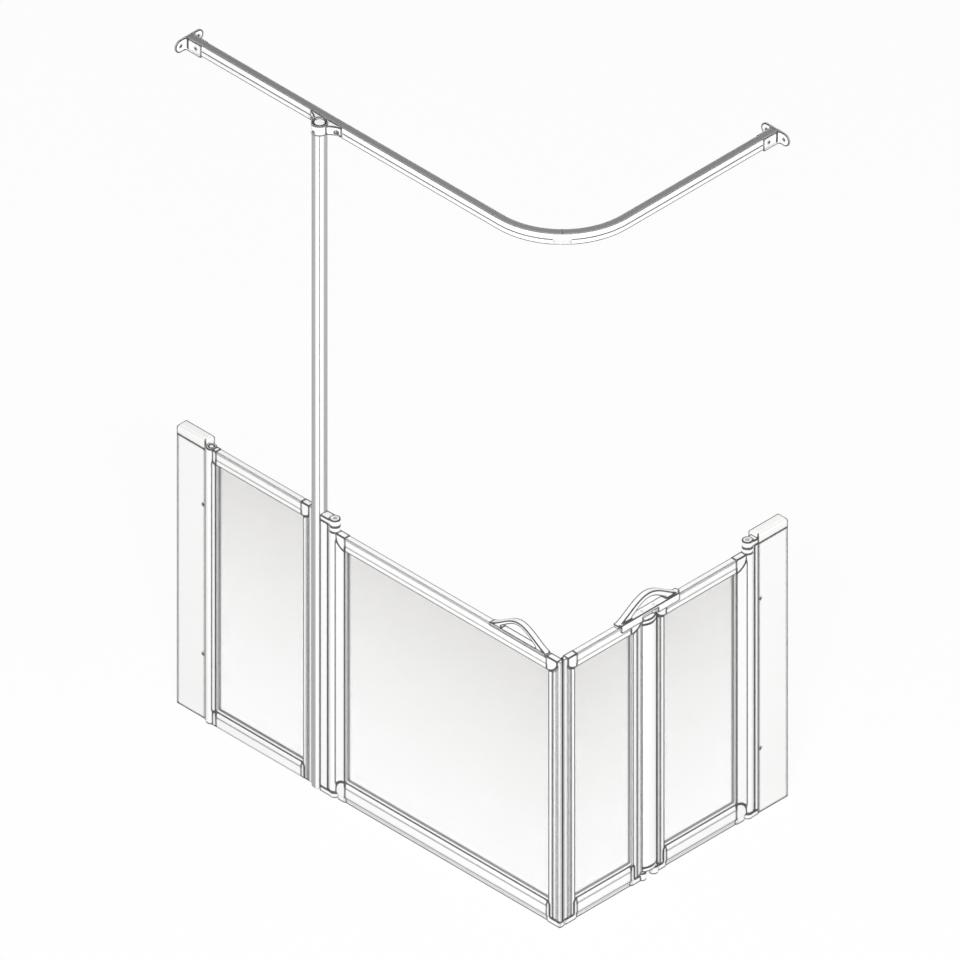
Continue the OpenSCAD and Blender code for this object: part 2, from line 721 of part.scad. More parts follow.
module wall_post_caps() color("whitesmoke") in_frame() {
    translate([-run_long, 0, 0]) post_cap(post_left_w);
    translate([0, run_short - post_right_w, 0]) rotate([0, 0, 90]) post_cap(post_right_w);
}

module wall_post_screws() color("silver") in_frame() {
    left_post_screws_at() screw(shank_l);
    right_post_screws_at() screw(shank_l);
}

// Fixed panel

module panel_wall_stile() color("white") at_panel() round_stile(panel, panel_bore_r);

// Its joint line runs down both faces
module panel_pole_stile() color("white") at_panel() difference() {
    right_stile(panel);
    for (y = [-leaf_t / 2, leaf_t / 2]) translate([panel_len - pole_stile_w + joint_at, y, 0])
        slab(-joint_w / 2, joint_w / 2, 2 * joint_w, -over, panel_top + over);
}

module panel_top_rail() color("white") at_panel() top_rail(panel);

module panel_bottom_rail() color("white") at_panel() bottom_rail(panel);

// Moulded corners and the plug in the round stile's top
module panel_corners() color("whitesmoke") at_panel() {
    for (top = [false, true]) {
        left_corner(panel, top);
        right_corner(panel, top);
    }
    translate([0, 0, panel_top - plug_h]) cylinder(r = panel_bore_r - plug_clear, h = plug_h);
}

module panel_glazing() color("gainsboro", 0.4) at_panel() glazing(panel);

module panel_gasket() color("lightgray") at_panel() gasket(panel);

// Strips that close the panel against the wall post and the pole
module panel_side_channels() color("lightgray") at_panel() {
    difference() {
        slab(-hinge_r - strip_w, 0, leaf_t - 2 * wall, 0, panel_top);
        translate([0, 0, -over]) cylinder(r = hinge_r + pole_clear, h = panel_top + 2 * over, $fn = 96);
    }
    difference() {
        slab(panel[0], panel[0] + pole_channel_w + pole_r / 2, leaf_t, 0, panel_top);
        translate([panel[0] + pole_channel_w + pole_r, 0, -over])
            cylinder(r = pole_r + pole_clear, h = panel_top + 2 * over, $fn = 96);
    }
}

// Support pole

pole_plug_r = pole_r - pole_wall - pole_clear;

module at_pole() in_frame() translate([pole_x, panel_y, 0]) children();

module pole_space(z0, z1) translate([-pole_to_pivot, panel_y, z0])
    cylinder(r = pole_r + pole_clear, h = z1 - z0, $fn = 96);

module support_pole() color("white") at_pole() difference() {
    cylinder(r = pole_r, h = pole_h, $fn = 96);
    translate([0, 0, -over]) cylinder(r = pole_r - pole_wall, h = pole_h + 2 * over, $fn = 96);
    rotate([0, 0, -45]) translate([pole_r - groove_d, -groove_w / 2, -over])
        cube([groove_d + over, groove_w, pole_h + 2 * over]);
}

// Plug in the pole's top with a step round its disc
module pole_top_plug() color("dimgray") at_pole() translate([0, 0, collar_z]) {
    cylinder(r = pole_plug_r, h = collar_h - plug_recess - plug_step_h);
    cylinder(r = pole_plug_r - plug_step_w, h = collar_h - plug_recess);
}

module pole_foot() color("black") at_pole() {
    difference() {
        cylinder(r = pole_plug_r, h = foot_plug_h);
        translate([0, 0, -over]) cylinder(r = floor_pin_r + pin_clear, h = foot_plug_h + 2 * over);
    }
    cylinder(r = floor_pin_r, h = floor_pin_l);
}

module clamp_screws_at() for (side = [-1, 1])
    translate([pole_x + side * ear_screw_at, rail_face - ear_t, rail_screw_z]) children();

// Set screw in the collar's front, which bears on the pole
set_screw_l = collar_r - pole_r - pole_clear;
ear_y = rail_face - ear_t - panel_y;

module set_screw_at() translate([pole_x, panel_y - collar_r, rail_screw_z]) children();

module pole_rail_clamp() color("white") in_frame() difference() {
    union() {
        translate([pole_x, panel_y, collar_z]) cylinder(r = collar_r, h = collar_h, $fn = 96);
        translate([pole_x, panel_y, collar_z]) linear_extrude(ear_h) for (left = [0, 1])
            mirror([left, 0]) polygon(concat([[-eps, 0]],
            sagged([pole_r, 0], [ear_l, ear_y], flank_sag, 10),
            [[ear_l, ear_y + ear_t], [-eps, ear_y + ear_t]]));
    }
    translate([pole_x, panel_y, collar_z - ear_h])
        cylinder(r = pole_r + pole_clear, h = collar_h + 2 * ear_h, $fn = 96);
    clamp_screws_at() {
        screw_hole();
        rotate([90, 0, 0]) cylinder(r = head_r + pocket_clear, h = ear_y);
    }
    set_screw_at() screw_hole();
}

// Curtain rail, drawn round the Y axis with its underside at 0

module rail_section() difference() {
    translate([-rail_w / 2, 0]) square([rail_w, rail_h]);
    translate([-glider_slot_w / 2, -over]) square([glider_slot_w, rail_wall + 2 * over]);
    translate([rail_wall - rail_w / 2, rail_wall]) square([rail_w - 2 * rail_wall, glider_h]);
    translate([rail_wall - rail_w / 2, cavity_z])
        square([rail_w - 2 * rail_wall, rail_h - cavity_z - rail_wall - top_groove_d]);
    translate([-top_groove_w / 2, rail_h - top_groove_d]) square([top_groove_w, top_groove_d + over]);
    for (side = [-1, 1]) polygon([[side * (rail_w / 2 + over), crease_h - crease_d - over],
        [side * (rail_w / 2 - crease_d), crease_h],
        [side * (rail_w / 2 + over), crease_h + crease_d + over]]);
}

module at_bend() in_frame() translate([-rail_y - bend_r, rail_y + bend_r, rail_base]) children();

module bend(from, sweep) rotate([0, 0, from]) rotate_extrude(angle = sweep, $fn = 96)
    translate([bend_r, 0]) children();

module curtain_rail_long() color("white") difference() {
    union() {
        in_frame() translate([bracket_t - run_long, rail_y, rail_base])
            along_x(run_long - bracket_t - rail_y - bend_r) rail_section();
        at_bend() bend(-90, 45) rail_section();
    }
    in_frame() clamp_screws_at() screw_hole();
    in_frame() left_bracket_screw_at() screw_hole();
}

module curtain_rail_short() color("white") difference() {
    union() {
        in_frame() translate([-rail_y, rail_y + bend_r, rail_base]) rotate([0, 0, 90])
            along_x(run_short - bracket_t - rail_y - bend_r) rail_section();
        at_bend() bend(0, -45) rail_section();
    }
    in_frame() right_bracket_screw_at() screw_hole();
}

module rail_joiner() color("lightgray") at_bend() {
    bend(-45 - joiner_angle, 2 * joiner_angle)
        translate([rail_wall + plug_clear - rail_w / 2, cavity_z + plug_clear])
        square([rail_w - 2 * (rail_wall + plug_clear),
            rail_h - cavity_z - rail_wall - top_groove_d - 2 * plug_clear]);
    bend(-45 - clip_angle, 2 * clip_angle) translate([rail_w / 2 + pole_clear, clip_edge])
        square([clip_t, rail_h - 2 * clip_edge]);
}

// Wall bracket, open on top, drawn on the wall plane x = 0 with the rail along +X
cheek_y = rail_w / 2 + sleeve_t;
bracket_ear_z = rail_h - bracket_ear_r;

module bracket() difference() {
    union() {
        for (side = [-1, 1]) translate([0, side * bracket_hole_at, bracket_ear_z]) rotate([0, 90, 0])
            cylinder(r = bracket_ear_r, h = bracket_t);
        slab(0, bracket_t, 2 * bracket_hole_at, bracket_ear_z - bracket_ear_r, rail_h);
        translate([0, cheek_y, 0]) rotate([90, 0, 0]) linear_extrude(2 * cheek_y) polygon(concat(
            [[0, rail_h], [0, -bracket_floor]],
            arc(bracket_l - bracket_round, bracket_round - bracket_floor, bracket_round, 270, 360, 8),
            [[bracket_l, rail_h]]));
        for (left = [0, 1]) mirror([0, left, 0])
            translate([bracket_t - eps, cheek_y - eps, bracket_ear_z - bracket_ear_r])
            linear_extrude(2 * bracket_ear_r) polygon(fillet(bracket_fillet, 8));
    }
    slab(bracket_t, bracket_l + over, rail_w + 2 * pole_clear, -pole_clear, rail_h + over);
    for (side = [-1, 1]) translate([-over, side * bracket_hole_at, bracket_ear_z]) rotate([0, 90, 0])
        cylinder(r = bracket_hole_r, h = bracket_t + 2 * over);
}

sleeve_face = rail_face - sleeve_t;

module left_bracket_screw_at()
    translate([bracket_screw_at - run_long, sleeve_face, rail_screw_z]) children();

module right_bracket_screw_at()
    translate([-sleeve_face, run_short - bracket_screw_at, rail_screw_z]) rotate([0, 0, 90]) children();

module rail_wall_brackets() color("whitesmoke") in_frame() {
    difference() {
        translate([-run_long, rail_y, rail_base]) bracket();
        left_bracket_screw_at() screw_hole();
    }
    difference() {
        translate([-rail_y, run_short, rail_base]) rotate([0, 0, -90]) bracket();
        right_bracket_screw_at() screw_hole();
    }
}

module rail_screws() color("silver") in_frame() {
    clamp_screws_at() screw(shank_l);
    left_bracket_screw_at() screw(shank_l);
    right_bracket_screw_at() screw(shank_l);
    set_screw_at() screw(set_screw_l);
}

// Hinge posts and arms

middle_back = pole_to_pivot - pole_r + pole_wrap;
right_back = hinge_face + right_hinge_d;

module middle_hinge_post() color("white") at_door() difference() {
    hinge_post(middle_back);
    pole_space(0, hinge_post_h + over);
}

module middle_hinge_arms() color("whitesmoke") at_door() difference() {
    hinge_arms(middle_back);
    pole_space(-over, hinge_post_h + arm_t + over);
}

module right_hinge_post() color("white") at_wall_leaf() hinge_post(right_back);

module right_hinge_arms() color("whitesmoke") at_wall_leaf() hinge_arms(right_back);

module hinge_washers() color("gray") {
    at_door() washers();
    at_wall_leaf() washers();
}

// Single door

module door_top_rail() color("white") at_door() top_rail(door);

module door_bottom_rail() color("white") at_door() bottom_rail(door);

module door_hinge_stile() color("white") at_door() round_stile(door, pin_r + pin_clear);

module door_closing_stile() color("white") at_door() right_stile(door);

module door_corners() color("whitesmoke") at_door() {
    for (top = [false, true]) {
        left_corner(door, top);
        right_corner(door, top);
    }
    shoe(door, hinge_r + swing_clear, door[3], door[3] - 2 * wall);
    shoe(door, door[0] - door[4] - corner_over, door_w, door[0] - door[4]);
    boss();
}

module door_glazing() color("gainsboro", 0.4) at_door() glazing(door);

module door_gasket() color("lightgray") at_door() gasket(door);

module door_floor_seal() color("darkgray") at_door() floor_seal(door[3], door[0] - door[4] - corner_over);

module door_magnetic_seal() color("lightgray") at_door() magnetic_seal(door, door[0], door_w);

module door_pivot_pins() color("silver") at_door() pivot_pins();

// Arch on a base plate, drawn about its middle with the plate on z = 0. Arch and gap
// hold their height, their curve's half length and their half width
module arch_handle(l, base, arch, gap) intersection() {
    translate([0, strap_d / 2, 0]) rotate([90, 0, 0]) linear_extrude(strap_d) difference() {
        union() {
            translate([-l / 2, 0]) square([l, base]);
            polygon(bell(arch[0], arch[1], arch[2], 36));
        }
        intersection() {
            polygon(bell(gap[0], gap[1], gap[2], 36));
            translate([-l, base]) square([2 * l, arch[0]]);
        }
    }
    translate([-l / 2, -strap_d / 2, -over]) linear_extrude(arch[0] + 2 * over)
        polygon(rounded(l, strap_d, end_round));
}

module door_handle() color("white") in_frame() translate([-door_handle_at, 0, leaf_top]) {
    arch_handle(door_handle_l, door_base_t, [door_arch_h, door_arch_l, door_arch_w],
        [door_gap_h, door_gap_l, door_gap_w]);
    translate([-door_handle_l / 2, -leaf_t / 2 - skirt_t, -skirt_h])
        cube([door_handle_l, skirt_t, skirt_h + door_base_t]);
    translate([-door_handle_l / 2, -leaf_t / 2 - eps, 0])
        cube([door_handle_l, leaf_t / 2 - strap_d / 2 + end_round, door_base_t]);
}

// Wall leaf

module wall_leaf_top_rail() color("white") at_wall_leaf() top_rail(wall_leaf);

module wall_leaf_bottom_rail() color("white") at_wall_leaf() bottom_rail(wall_leaf);

module wall_leaf_hinge_stile() color("white") at_wall_leaf() round_stile(wall_leaf, pin_r + pin_clear);

module wall_leaf_fold_stile() color("white") at_wall_leaf() fold_stile(wall_leaf, 1);

module wall_leaf_corners() color("whitesmoke") {
    at_wall_leaf() {
        for (top = [false, true]) left_corner(wall_leaf, top);
        shoe(wall_leaf, hinge_r + swing_clear, wall_leaf[3], wall_leaf[3] - 2 * wall);
        boss();
    }
    fold_corner(fold_pin_high_y, 1, true) at_wall_leaf() right_corner(wall_leaf, true);
    fold_corner(fold_pin_high_y, 1, false) at_wall_leaf() {
        right_corner(wall_leaf, false);
        fold_shoe(wall_leaf);
    }
}

module wall_leaf_glazing() color("gainsboro", 0.4) at_wall_leaf() glazing(wall_leaf);

module wall_leaf_gasket() color("lightgray") at_wall_leaf() gasket(wall_leaf);

module wall_leaf_floor_seal() color("darkgray") at_wall_leaf()
    floor_seal(wall_leaf[3], wall_leaf[0] - wall_leaf[4] - corner_over);

module wall_leaf_pivot_pins() color("silver") at_wall_leaf() pivot_pins();

// Corner leaf

module corner_leaf_top_rail() color("white") at_corner_leaf() top_rail(corner_leaf);

module corner_leaf_bottom_rail() color("white") at_corner_leaf() bottom_rail(corner_leaf);

module corner_leaf_closing_stile() color("white") at_corner_leaf() left_stile(corner_leaf);

module corner_leaf_fold_stile() color("white") at_corner_leaf() fold_stile(corner_leaf, -1);

module corner_leaf_corners() color("whitesmoke") {
    at_corner_leaf() {
        for (top = [false, true]) left_corner(corner_leaf, top);
        shoe(corner_leaf, -corner_magnet_l, corner_leaf[3] + corner_over, corner_leaf[3]);
    }
    fold_corner(fold_pin_low_y, -1, true) at_corner_leaf() right_corner(corner_leaf, true);
    fold_corner(fold_pin_low_y, -1, false) at_corner_leaf() {
        right_corner(corner_leaf, false);
        fold_shoe(corner_leaf);
    }
}

module corner_leaf_glazing() color("gainsboro", 0.4) at_corner_leaf() glazing(corner_leaf);

module corner_leaf_gasket() color("lightgray") at_corner_leaf() gasket(corner_leaf);

module corner_leaf_floor_seal() color("darkgray") at_corner_leaf()
    floor_seal(corner_leaf[3] + corner_over,
    corner_leaf[0] - corner_leaf[4] - corner_over);

module corner_leaf_magnetic_seal() color("lightgray") at_corner_leaf()
    magnetic_seal(corner_leaf, -corner_magnet_l, 0);

module fold_shoe(leaf)
    shoe(leaf, leaf[0] - leaf[4] - corner_over, leaf[0] - fold_gap, leaf[0] - leaf[4]);

// Moulded corner at the fold with its lug or foot block, its leaf towards side
module fold_corner(pin_y, side, top) difference() {
    union() {
        children();
        in_frame() translate([fold_pin_x, pin_y, 0]) {
            if (top) translate([0, 0, cap_top_z + fold_gap]) {
                cylinder(r = lug_r, h = fold_cap_drop - 2 * fold_gap);
                translate([-lug_r, side > 0 ? 0 : -fold_setback - wall, 0])
                    cube([2 * lug_r, fold_setback + wall, fold_cap_drop - 2 * fold_gap]);
            }
            if (!top) translate([0, 0, foot_block_z]) cylinder(r = foot_block_r, h = foot_block_h);
        }
    }
    in_frame() translate([fold_pin_x, pin_y, foot_block_z + foot_floor])
        cylinder(r = fold_pin_r + pin_clear, h = leaf_top);
}

// Fold post between the leaves, its outer face bulging and its inner face flat

fold_edge = fold_pin_gap / 2 + fold_setback - close_gap;
fold_rise = leaf_inset + fold_proud;
fold_bulge_r = (fold_edge * fold_edge + fold_rise * fold_rise) / (2 * fold_rise);
fold_bulge_a = asin(fold_edge / fold_bulge_r);
fold_inner = fold_setback - close_gap;

module fold_section() translate([0, fold_at]) polygon(concat(
    arc(fold_proud - fold_bulge_r, 0, fold_bulge_r, -fold_bulge_a, fold_bulge_a, 16),
    [[fold_pin_x - close_gap, fold_edge], [fold_pin_x - fold_inner, fold_edge - fold_inner + close_gap],
     [fold_pin_x - fold_inner, fold_inner - fold_edge - close_gap], [fold_pin_x - close_gap, -fold_edge]]));

module fold_post() color("white") in_frame() difference() {
    translate([0, 0, fold_cap_low + fold_cap_t])
        linear_extrude(cap_top_z - fold_cap_low - 2 * fold_cap_t) fold_section();
    translate([fold_proud - 2 * wall - fold_hollow_r, fold_at, 0])
        cylinder(r = fold_hollow_r, h = leaf_top);
}

module fold_pins_at() for (y = [fold_pin_low_y, fold_pin_high_y]) translate([fold_pin_x, y, 0]) children();

module fold_post_caps() color("whitesmoke") in_frame() difference() {
    for (z = [fold_cap_low, cap_top_z - fold_cap_t])
        translate([0, 0, z]) linear_extrude(fold_cap_t) fold_section();
    fold_pins_at() cylinder(r = fold_pin_r + pin_clear, h = leaf_top);
}

module fold_pins() color("silver") in_frame() fold_pins_at() {
    translate([0, 0, foot_block_z + foot_floor + pin_end])
        cylinder(r = fold_pin_r, h = fold_cap_low + fold_cap_t - foot_block_z - foot_floor - pin_end);
    translate([0, 0, cap_top_z - fold_cap_t])
        cylinder(r = fold_pin_r, h = fold_base_z + fold_base_t - wall - pin_end - cap_top_z + fold_cap_t);
}

// Handle over the fold, with an outer flange that hangs in front of both leaves and is
// notched over the fold post
fold_base_z = leaf_top + fold_gap;
flange_h = fold_base_z + fold_base_t - cap_top_z - 2 * fold_gap;

module fold_handle() color("white") in_frame() difference() {
    union() {
        translate([leaf_x, fold_at, fold_base_z]) rotate([0, 0, 90])
            arch_handle(fold_handle_l, fold_base_t, [fold_arch_h, fold_arch_l, fold_arch_w],
                [fold_gap_h, fold_gap_l, fold_gap_w]);
        translate([flange_gap - leaf_inset, fold_at, fold_base_z + fold_base_t]) rotate([90, 180, 90])
            linear_extrude(flange_t) polygon(loaf(2 * flange_l, flange_h, flange_round, 4));
        translate([leaf_x, fold_at - flange_l, fold_base_z])
            cube([flange_gap + flange_t - leaf_inset - leaf_x, 2 * flange_l, fold_base_t]);
    }
    translate([-leaf_inset, fold_at - notch_w, cap_top_z]) cube([fold_proud + leaf_inset,
        2 * notch_w, fold_base_z - cap_top_z]);
    fold_pins_at() cylinder(r = fold_pin_r + pin_clear, h = fold_base_z + fold_base_t - wall);
}

left_wall_post();
right_wall_post();
wall_post_caps();
wall_post_screws();
panel_wall_stile();
panel_pole_stile();
panel_top_rail();
panel_bottom_rail();
panel_corners();
panel_glazing();
panel_gasket();
panel_side_channels();
support_pole();
pole_top_plug();
pole_foot();
pole_rail_clamp();
rail_screws();
middle_hinge_post();
middle_hinge_arms();
right_hinge_post();
right_hinge_arms();
hinge_washers();
curtain_rail_long();
curtain_rail_short();
rail_joiner();
rail_wall_brackets();
door_top_rail();
door_bottom_rail();
door_hinge_stile();
door_closing_stile();
door_corners();
door_glazing();
door_gasket();
door_floor_seal();
door_magnetic_seal();
door_handle();
door_pivot_pins();
wall_leaf_top_rail();
wall_leaf_bottom_rail();
wall_leaf_hinge_stile();
wall_leaf_fold_stile();
wall_leaf_corners();
wall_leaf_glazing();
wall_leaf_gasket();
wall_leaf_floor_seal();
wall_leaf_pivot_pins();
corner_leaf_top_rail();
corner_leaf_bottom_rail();
corner_leaf_closing_stile();
corner_leaf_fold_stile();
corner_leaf_corners();
corner_leaf_glazing();
corner_leaf_gasket();
corner_leaf_floor_seal();
corner_leaf_magnetic_seal();
fold_post();
fold_post_caps();
fold_pins();
fold_handle();
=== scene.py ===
# %% [markdown]
# # A half-height shower screen, dressed for its picture
#
# The screen stands in a level-access shower. A carer works over its waist-high leaves while a
# curtain hangs from the rail above. Every solid is already made and packed, in metres, in one
# frame: +X along the long run, +Y along the short run, +Z up, and the floor at zero. This lesson
# gives those solids their finishes, adds the small forms that plain solids lack, and lights them.
# The imported model is loaded first.

import json
import math

import bmesh
import bpy
from mathutils import Matrix, Vector


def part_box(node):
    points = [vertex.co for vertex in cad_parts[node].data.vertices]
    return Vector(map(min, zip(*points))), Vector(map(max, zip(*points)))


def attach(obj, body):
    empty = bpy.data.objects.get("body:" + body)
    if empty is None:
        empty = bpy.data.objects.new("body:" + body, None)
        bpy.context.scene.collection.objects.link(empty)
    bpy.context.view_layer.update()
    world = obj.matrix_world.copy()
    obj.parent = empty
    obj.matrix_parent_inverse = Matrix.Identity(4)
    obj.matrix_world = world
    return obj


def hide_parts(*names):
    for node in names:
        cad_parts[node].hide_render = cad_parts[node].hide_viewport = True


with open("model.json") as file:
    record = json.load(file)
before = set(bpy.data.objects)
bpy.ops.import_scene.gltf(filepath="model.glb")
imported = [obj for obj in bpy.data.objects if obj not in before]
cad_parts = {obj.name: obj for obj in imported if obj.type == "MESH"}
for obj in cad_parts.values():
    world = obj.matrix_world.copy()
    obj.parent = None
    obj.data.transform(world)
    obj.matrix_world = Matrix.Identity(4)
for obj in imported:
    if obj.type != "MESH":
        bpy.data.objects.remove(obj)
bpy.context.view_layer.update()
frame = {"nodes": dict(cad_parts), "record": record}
SLOT_OF = {part["node"]: part["material_slot"] for part in frame["record"]["subparts"]}

# %% [markdown]
# ## The camera
#
# The picture is a parallel view, near to isometric: no perspective, and one scale for all three
# axes. An orthographic camera gives exactly that. Its long lines fall 0.583 pixels for each
# pixel across, so the camera looks from 45 degrees round and 35.66 degrees up. Its scale is the
# width of the frame in metres, and 0.4377 pixels to the millimetre make 960 pixels 2.19 m.

# %% Place the camera
PICTURE_PIXELS = 960
PIXELS_PER_METRE = 437.7
VIEW_WIDTH = PICTURE_PIXELS / PIXELS_PER_METRE
AIM = Vector((-0.0013, -0.0013, 0.7634))
TOWARDS_CAMERA = Vector((0.5745, -0.5745, 0.583)).normalized()
CAMERA_DISTANCE = 8


def show(thing):
    """Put a new object in the scene and hand it back."""
    bpy.context.scene.collection.objects.link(thing)
    return thing


camera_data = bpy.data.cameras.new("isometric_camera")
camera_data.type = "ORTHO"
camera_data.ortho_scale = VIEW_WIDTH
camera_data.clip_end = 60
camera = show(bpy.data.objects.new("isometric_camera", camera_data))
camera.location = AIM + TOWARDS_CAMERA * CAMERA_DISTANCE
camera.rotation_euler = TOWARDS_CAMERA.to_track_quat("Z", "Y").to_euler()
bpy.context.scene.camera = camera
print("frame width:", round(VIEW_WIDTH, 3), "m")

# %% [markdown]
# ## Helpers for materials
#
# A material is a small tree of nodes. Written out node by node, each finish would fill a page, so
# short helpers stand for the steps that come back: a sum on numbers or sockets, a ramp between
# two values, one colour laid over another by a mask, and the position on the piece. Effects that
# several finishes share are shader node groups, each built once and placed with its own values.

# %% Node helpers
def add(tree, kind, **settings):
    node = tree.nodes.new(kind)
    for name, value in settings.items():
        setattr(node, name, value)
    return node


def feed(tree, source, target):
    """Give an input socket a plain value or another node's output."""
    if isinstance(source, bpy.types.NodeSocket):
        tree.links.new(source, target)
    else:
        target.default_value = source


def calc(tree, operation, *terms, clamp=False):
    node = add(tree, "ShaderNodeMath", operation=operation, use_clamp=clamp)
    for term, socket in zip(terms, node.inputs):
        feed(tree, term, socket)
    return node.outputs["Value"]


def vector_calc(tree, operation, *terms, result="Vector"):
    node = add(tree, "ShaderNodeVectorMath", operation=operation)
    for term, socket in zip(terms, node.inputs):
        feed(tree, term, socket)
    return node.outputs[result]


def ramp(tree, value, start=0, end=1, low=0, high=1):
    """Low at the start value and high at the end value, straight in between."""
    node = add(tree, "ShaderNodeMapRange")
    for label, number in (("From Min", start), ("From Max", end),
                          ("To Min", low), ("To Max", high)):
        node.inputs[label].default_value = number
    feed(tree, value, node.inputs["Value"])
    return node.outputs["Result"]


def mixed(tree, mask, below, above):
    """The colour below where the mask is 0, the colour above where it is 1."""
    node = add(tree, "ShaderNodeMix", data_type="RGBA")
    for source, place in ((mask, 0), (below, 6), (above, 7)):
        feed(tree, (*source, 1) if isinstance(source, tuple) else source, node.inputs[place])
    return node.outputs[2]


def object_position(tree):
    return add(tree, "ShaderNodeTexCoord").outputs["Object"]


def axis_values(tree, vector):
    node = add(tree, "ShaderNodeSeparateXYZ")
    feed(tree, vector, node.inputs["Vector"])
    return node.outputs


print("node helpers ready")

# %% [markdown]
# Three more helpers make a node group, place one, and start a material. A fourth opens a finished
# material again, so that a further mask can be laid over what it already paints.

# %% Group and material helpers
def new_group(name, inputs, outputs):
    """A shader node group with float inputs (name, default) and outputs (name, socket type)."""
    tree = bpy.data.node_groups.new(name, "ShaderNodeTree")
    for label, value in inputs:
        socket = tree.interface.new_socket(label, in_out="INPUT", socket_type="NodeSocketFloat")
        socket.default_value = value
    for label, kind in outputs:
        tree.interface.new_socket(label, in_out="OUTPUT", socket_type=kind)
    return tree, add(tree, "NodeGroupInput").outputs, add(tree, "NodeGroupOutput").inputs


def place_group(tree, group, **values):
    node = add(tree, "ShaderNodeGroup", node_tree=group)
    for label, value in values.items():
        node.inputs[label.replace("_", " ")].default_value = value
    return node.outputs


def new_material(name):
    material = bpy.data.materials.new(name)
    material.use_nodes = True
    return material, material.node_tree, material.node_tree.nodes["Principled BSDF"]


def reopen(material):
    """A finished material's tree, its Base Color socket and what feeds that socket now."""
    tree = material.node_tree
    base = tree.nodes["Principled BSDF"].inputs["Base Color"]
    return tree, base, base.links[0].from_socket


print("group and material helpers ready")

# %% [markdown]
# ## Edges
#
# The picture is a line drawing: every edge has a thin dark line. Bevelling each profile and
# colouring the new faces would be one way, but the solids have to stay as they were packed. The
# Bevel shader node does it in the finish alone: it rounds the normal near an edge. Where the
# rounded normal leaves the flat one, there is an edge, and that difference is the mask. The first
# two percent don't count, so a gentle curve has no line and a sharp edge has a full one. The line
# is part of the surface, so it stays in place when the piece turns.

# %% Edge group
SAME_FACE = 0.98

edge_group, g_in, g_out = new_group(
    "edge line", [("Radius", 0.001), ("Reach", 8.0)],
    [("Mask", "NodeSocketFloat"), ("Normal", "NodeSocketVector")])
rounded = add(edge_group, "ShaderNodeBevel", samples=16)
flat = add(edge_group, "ShaderNodeNewGeometry")
feed(edge_group, g_in["Radius"], rounded.inputs["Radius"])
agree = vector_calc(edge_group, "DOT_PRODUCT", rounded.outputs["Normal"],
                    flat.outputs["Normal"], result="Value")
apart = calc(edge_group, "SUBTRACT", SAME_FACE, agree, clamp=True)
grown = calc(edge_group, "MULTIPLY", apart, g_in["Reach"], clamp=True)
feed(edge_group, grown, g_out["Mask"])
feed(edge_group, rounded.outputs["Normal"], g_out["Normal"])
print("edge group:", len(edge_group.nodes), "nodes")

# %% [markdown]
# ## Grain
#
# Powder coat dries with a fine orange peel, and moulded plastic has a fainter, coarser mottle.
# Both are a noise on Object coordinates, so it stays still on the piece from any side. The group
# gives the height for a Bump node and a slow, even drift for colour and roughness.

# %% Grain group
DRIFT_SIZE = 0.12

grain_group, g_in, g_out = new_group(
    "surface grain", [("Grain Size", 0.001), ("Drift Size", DRIFT_SIZE)],
    [("Height", "NodeSocketFloat"), ("Drift", "NodeSocketFloat")])
on_piece = object_position(grain_group)
for label, source, detail in (("Height", "Grain Size", 2.0), ("Drift", "Drift Size", 3.0)):
    noise = add(grain_group, "ShaderNodeTexNoise")
    noise.inputs["Detail"].default_value = detail
    feed(grain_group, calc(grain_group, "DIVIDE", 1, g_in[source]), noise.inputs["Scale"])
    feed(grain_group, on_piece, noise.inputs["Vector"])
    feed(grain_group, noise.outputs["Fac"], g_out[label])
print("grain group:", len(grain_group.nodes), "nodes")

# %% [markdown]
# ## Painted and moulded finishes
#
# One recipe serves every opaque piece, with different numbers: a base colour that drifts by a
# percent or two, a darker tone along the edges, a roughness that follows the drift, and the
# grain as a shallow bump on the rounded normal. A larger edge radius gives a wider line, and a
# larger reach a harder one. Values that are the same all over a surface, such as the coat, sit
# on the shader's own sockets.

# %% Recipe for an opaque finish
ROUGHNESS_DRIFT = 0.06
COAT_ROUGHNESS = 0.12
BUMP_STRENGTH = 0.6


def opaque_finish(name, colour, edge_colour, roughness, grain=0.0012, bump=0.00002,
                  edge_radius=0.0098, edge_reach=90.0, edge_amount=0.98, drift=0.015,
                  metallic=0.0, coat=0.0):
    material, tree, shader = new_material(name)
    edges = place_group(tree, edge_group, Radius=edge_radius, Reach=edge_reach)
    surface = place_group(tree, grain_group, Grain_Size=grain, Drift_Size=DRIFT_SIZE)
    darker = tuple(c * (1 - drift) for c in colour)
    lighter = tuple(min(1, c * (1 + drift)) for c in colour)
    tone = mixed(tree, surface["Drift"], darker, lighter)
    amount = calc(tree, "MULTIPLY", edges["Mask"], edge_amount)
    feed(tree, mixed(tree, amount, tone, edge_colour), shader.inputs["Base Color"])
    rough = ramp(tree, surface["Drift"], low=roughness - ROUGHNESS_DRIFT,
                 high=roughness + ROUGHNESS_DRIFT)
    feed(tree, rough, shader.inputs["Roughness"])

    relief = add(tree, "ShaderNodeBump")
    relief.inputs["Strength"].default_value = BUMP_STRENGTH
    relief.inputs["Distance"].default_value = bump
    feed(tree, surface["Height"], relief.inputs["Height"])
    feed(tree, edges["Normal"], relief.inputs["Normal"])
    feed(tree, relief.outputs["Normal"], shader.inputs["Normal"])

    shader.inputs["Metallic"].default_value = metallic
    shader.inputs["Coat Weight"].default_value = coat
    shader.inputs["Coat Roughness"].default_value = COAT_ROUGHNESS
    material.diffuse_color = (*colour, 1)
    return material


print("recipe ready")

# %% [markdown]
# Each material slot of the record has one finish. The white profiles are powder-coated, the
# mouldings and handles are smoother, and the small dark parts only show as marks. The paint comes
# back on many pieces with other line widths, so it has a helper of its own.

